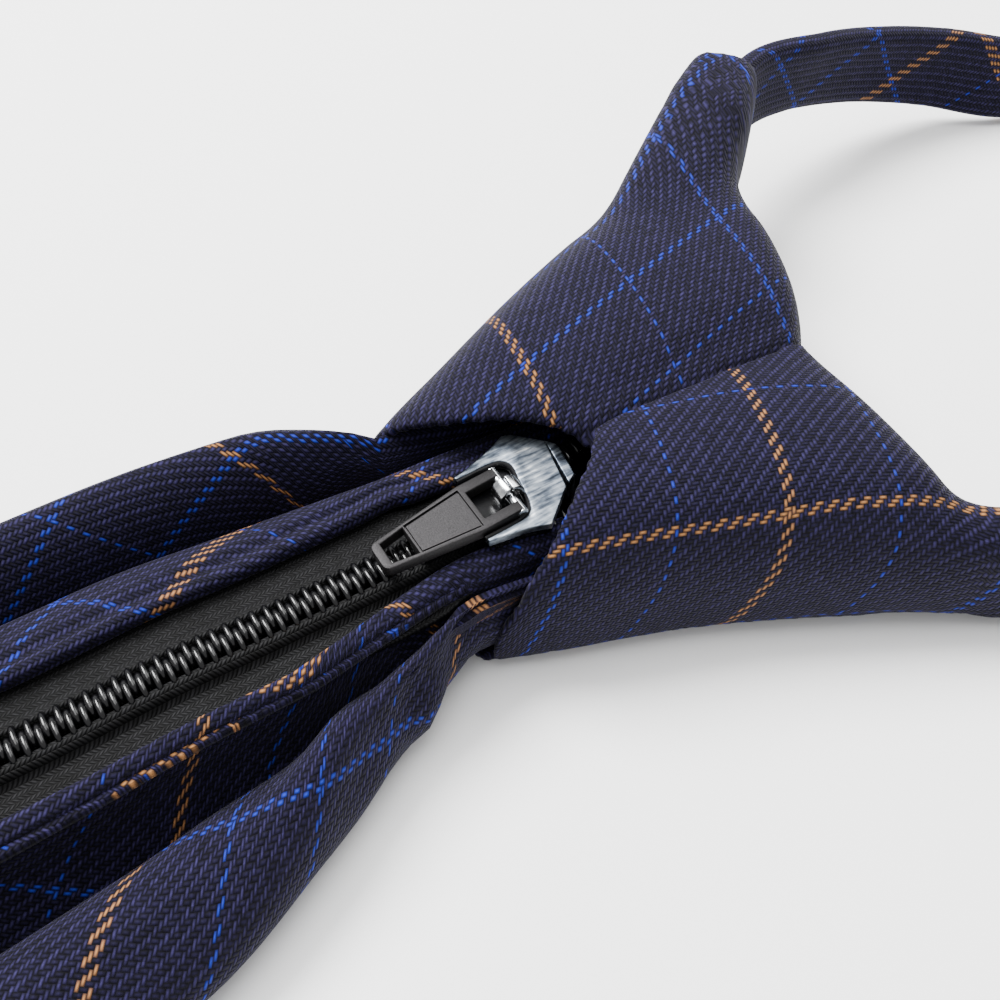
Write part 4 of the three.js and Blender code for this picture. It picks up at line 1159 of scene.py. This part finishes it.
def makePull():
    form = pull
    barEnd = -form["prongLength"] - form["bar"]
    windowLow = -form["length"] + form["tipFrame"]
    windowHigh = windowLow + form["window"]

    def halfAt(y):
        return mix(form["half"], form["tipHalf"], min(max((barEnd - y) / (barEnd + form["length"]), 0), 1))

    rows = [(0.12, form["half"] - form["prong"]), (-form["prongLength"], form["half"] - form["prong"]),
            (barEnd, halfAt(barEnd) - form["rim"]), (windowHigh, halfAt(windowHigh) - form["rim"]),
            (windowLow, halfAt(windowLow) - 0.52), (-form["length"], halfAt(-form["length"]) - 0.6)]
    bm = bmesh.new()
    bmesh.ops.create_grid(bm, x_segments=3, y_segments=5, size=1)
    bm.verts.ensure_lookup_table()
    for vertex in bm.verts:
        row, column = divmod(vertex.index, 4)
        y, inner = rows[row]
        x = (-halfAt(y), -inner, inner, halfAt(y))[column]
        vertex.co = Vector((x, y, -form["thick"] / 2)) * mm
    middle = [face for face in bm.faces if abs(face.calc_center_median().x) < 0.2 * mm]
    middle.sort(key=lambda face: -face.calc_center_median().y)
    bmesh.ops.delete(bm, geom=[middle[0], middle[3]], context="FACES")
    bmesh.ops.recalc_face_normals(bm, faces=bm.faces)
    made = bmesh.ops.extrude_face_region(bm, geom=list(bm.faces))["geom"]
    bmesh.ops.translate(bm, verts=[p for p in made if isinstance(p, bmesh.types.BMVert)],
                        vec=(0, 0, form["thick"] * mm))
    bmesh.ops.recalc_face_normals(bm, faces=bm.faces)
    tips = [e for e in bm.edges if abs(e.verts[0].co.z - e.verts[1].co.z) > 0.5 * mm
            and e.verts[0].co.y < (-form["length"] + 0.01) * mm
            and abs(e.verts[0].co.x) > form["tipHalf"] * 0.9 * mm]
    roundEdges(bm, tips, 0.6, 5)
    top = form["thick"] / 2 * mm
    edges = [e for e in bm.edges if abs(e.verts[0].co.z - top) < 1e-6 and abs(e.verts[1].co.z - top) < 1e-6
             and e.is_manifold and e.calc_face_angle(0) > 0.5]
    roundEdges(bm, edges, 0.13, 2)
    panelAt = Vector((0, (barEnd + windowHigh) / 2 * mm, top))
    panel = min((f for f in bm.faces if f.normal.z > 0.99),
                key=lambda f: (f.calc_center_median() - panelAt).length)
    for inset, depth in ((0.02, 0), (0.06, -0.26), (0.16, 0), (0.07, 0.17)):  # a groove round a raised field
        bmesh.ops.inset_individual(bm, faces=[panel], thickness=inset * mm, depth=depth * mm)
    body = objectFrom("pullBody", bm, smooth=False)
    pins = bmesh.new()
    radius = form["pin"] * mm
    bmesh.ops.create_cone(pins, cap_ends=True, segments=24, radius1=radius, radius2=radius,
                          depth=(form["half"] * 2 + 0.1) * mm, matrix=Matrix.Rotation(math.pi / 2, 4, "Y"))
    pin = objectFrom("pullPin", pins)
    place = pinPlace()
    tilt = Matrix.Rotation(math.radians(form["tilt"]), 4, "X")
    softShade(moved(body, place @ tilt))
    softShade(moved(pin, place))
    finishPiece(body, gunmetal, body="pull", nodes=("pull_tab",))
    finishPiece(pin, brightSteel, body="pull", nodes=("pull_tab",))


stopForm = {"half": 2.55, "length": 3, "high": 2.2, "gap": 0.3, "round": 0.5}


def makeStop():
    y = knot["mouthY"] - chain["length"] - stopForm["gap"]
    low = tapeBottom(y) + chain["tape"] + stopForm["gap"]
    half, end = stopForm["half"], y - stopForm["length"]
    stop = plateBetween("zipStop", [(-half, end), (half, end), (half, y), (-half, y)],
                        low, low + stopForm["high"], stopForm["round"], 4)
    softShade(stop)
    finishPiece(stop, brightSteel, nodes=("zip_stop",))


makeStop()
makeSlider()
makeBail()
makePull()
print("slider and pull made")
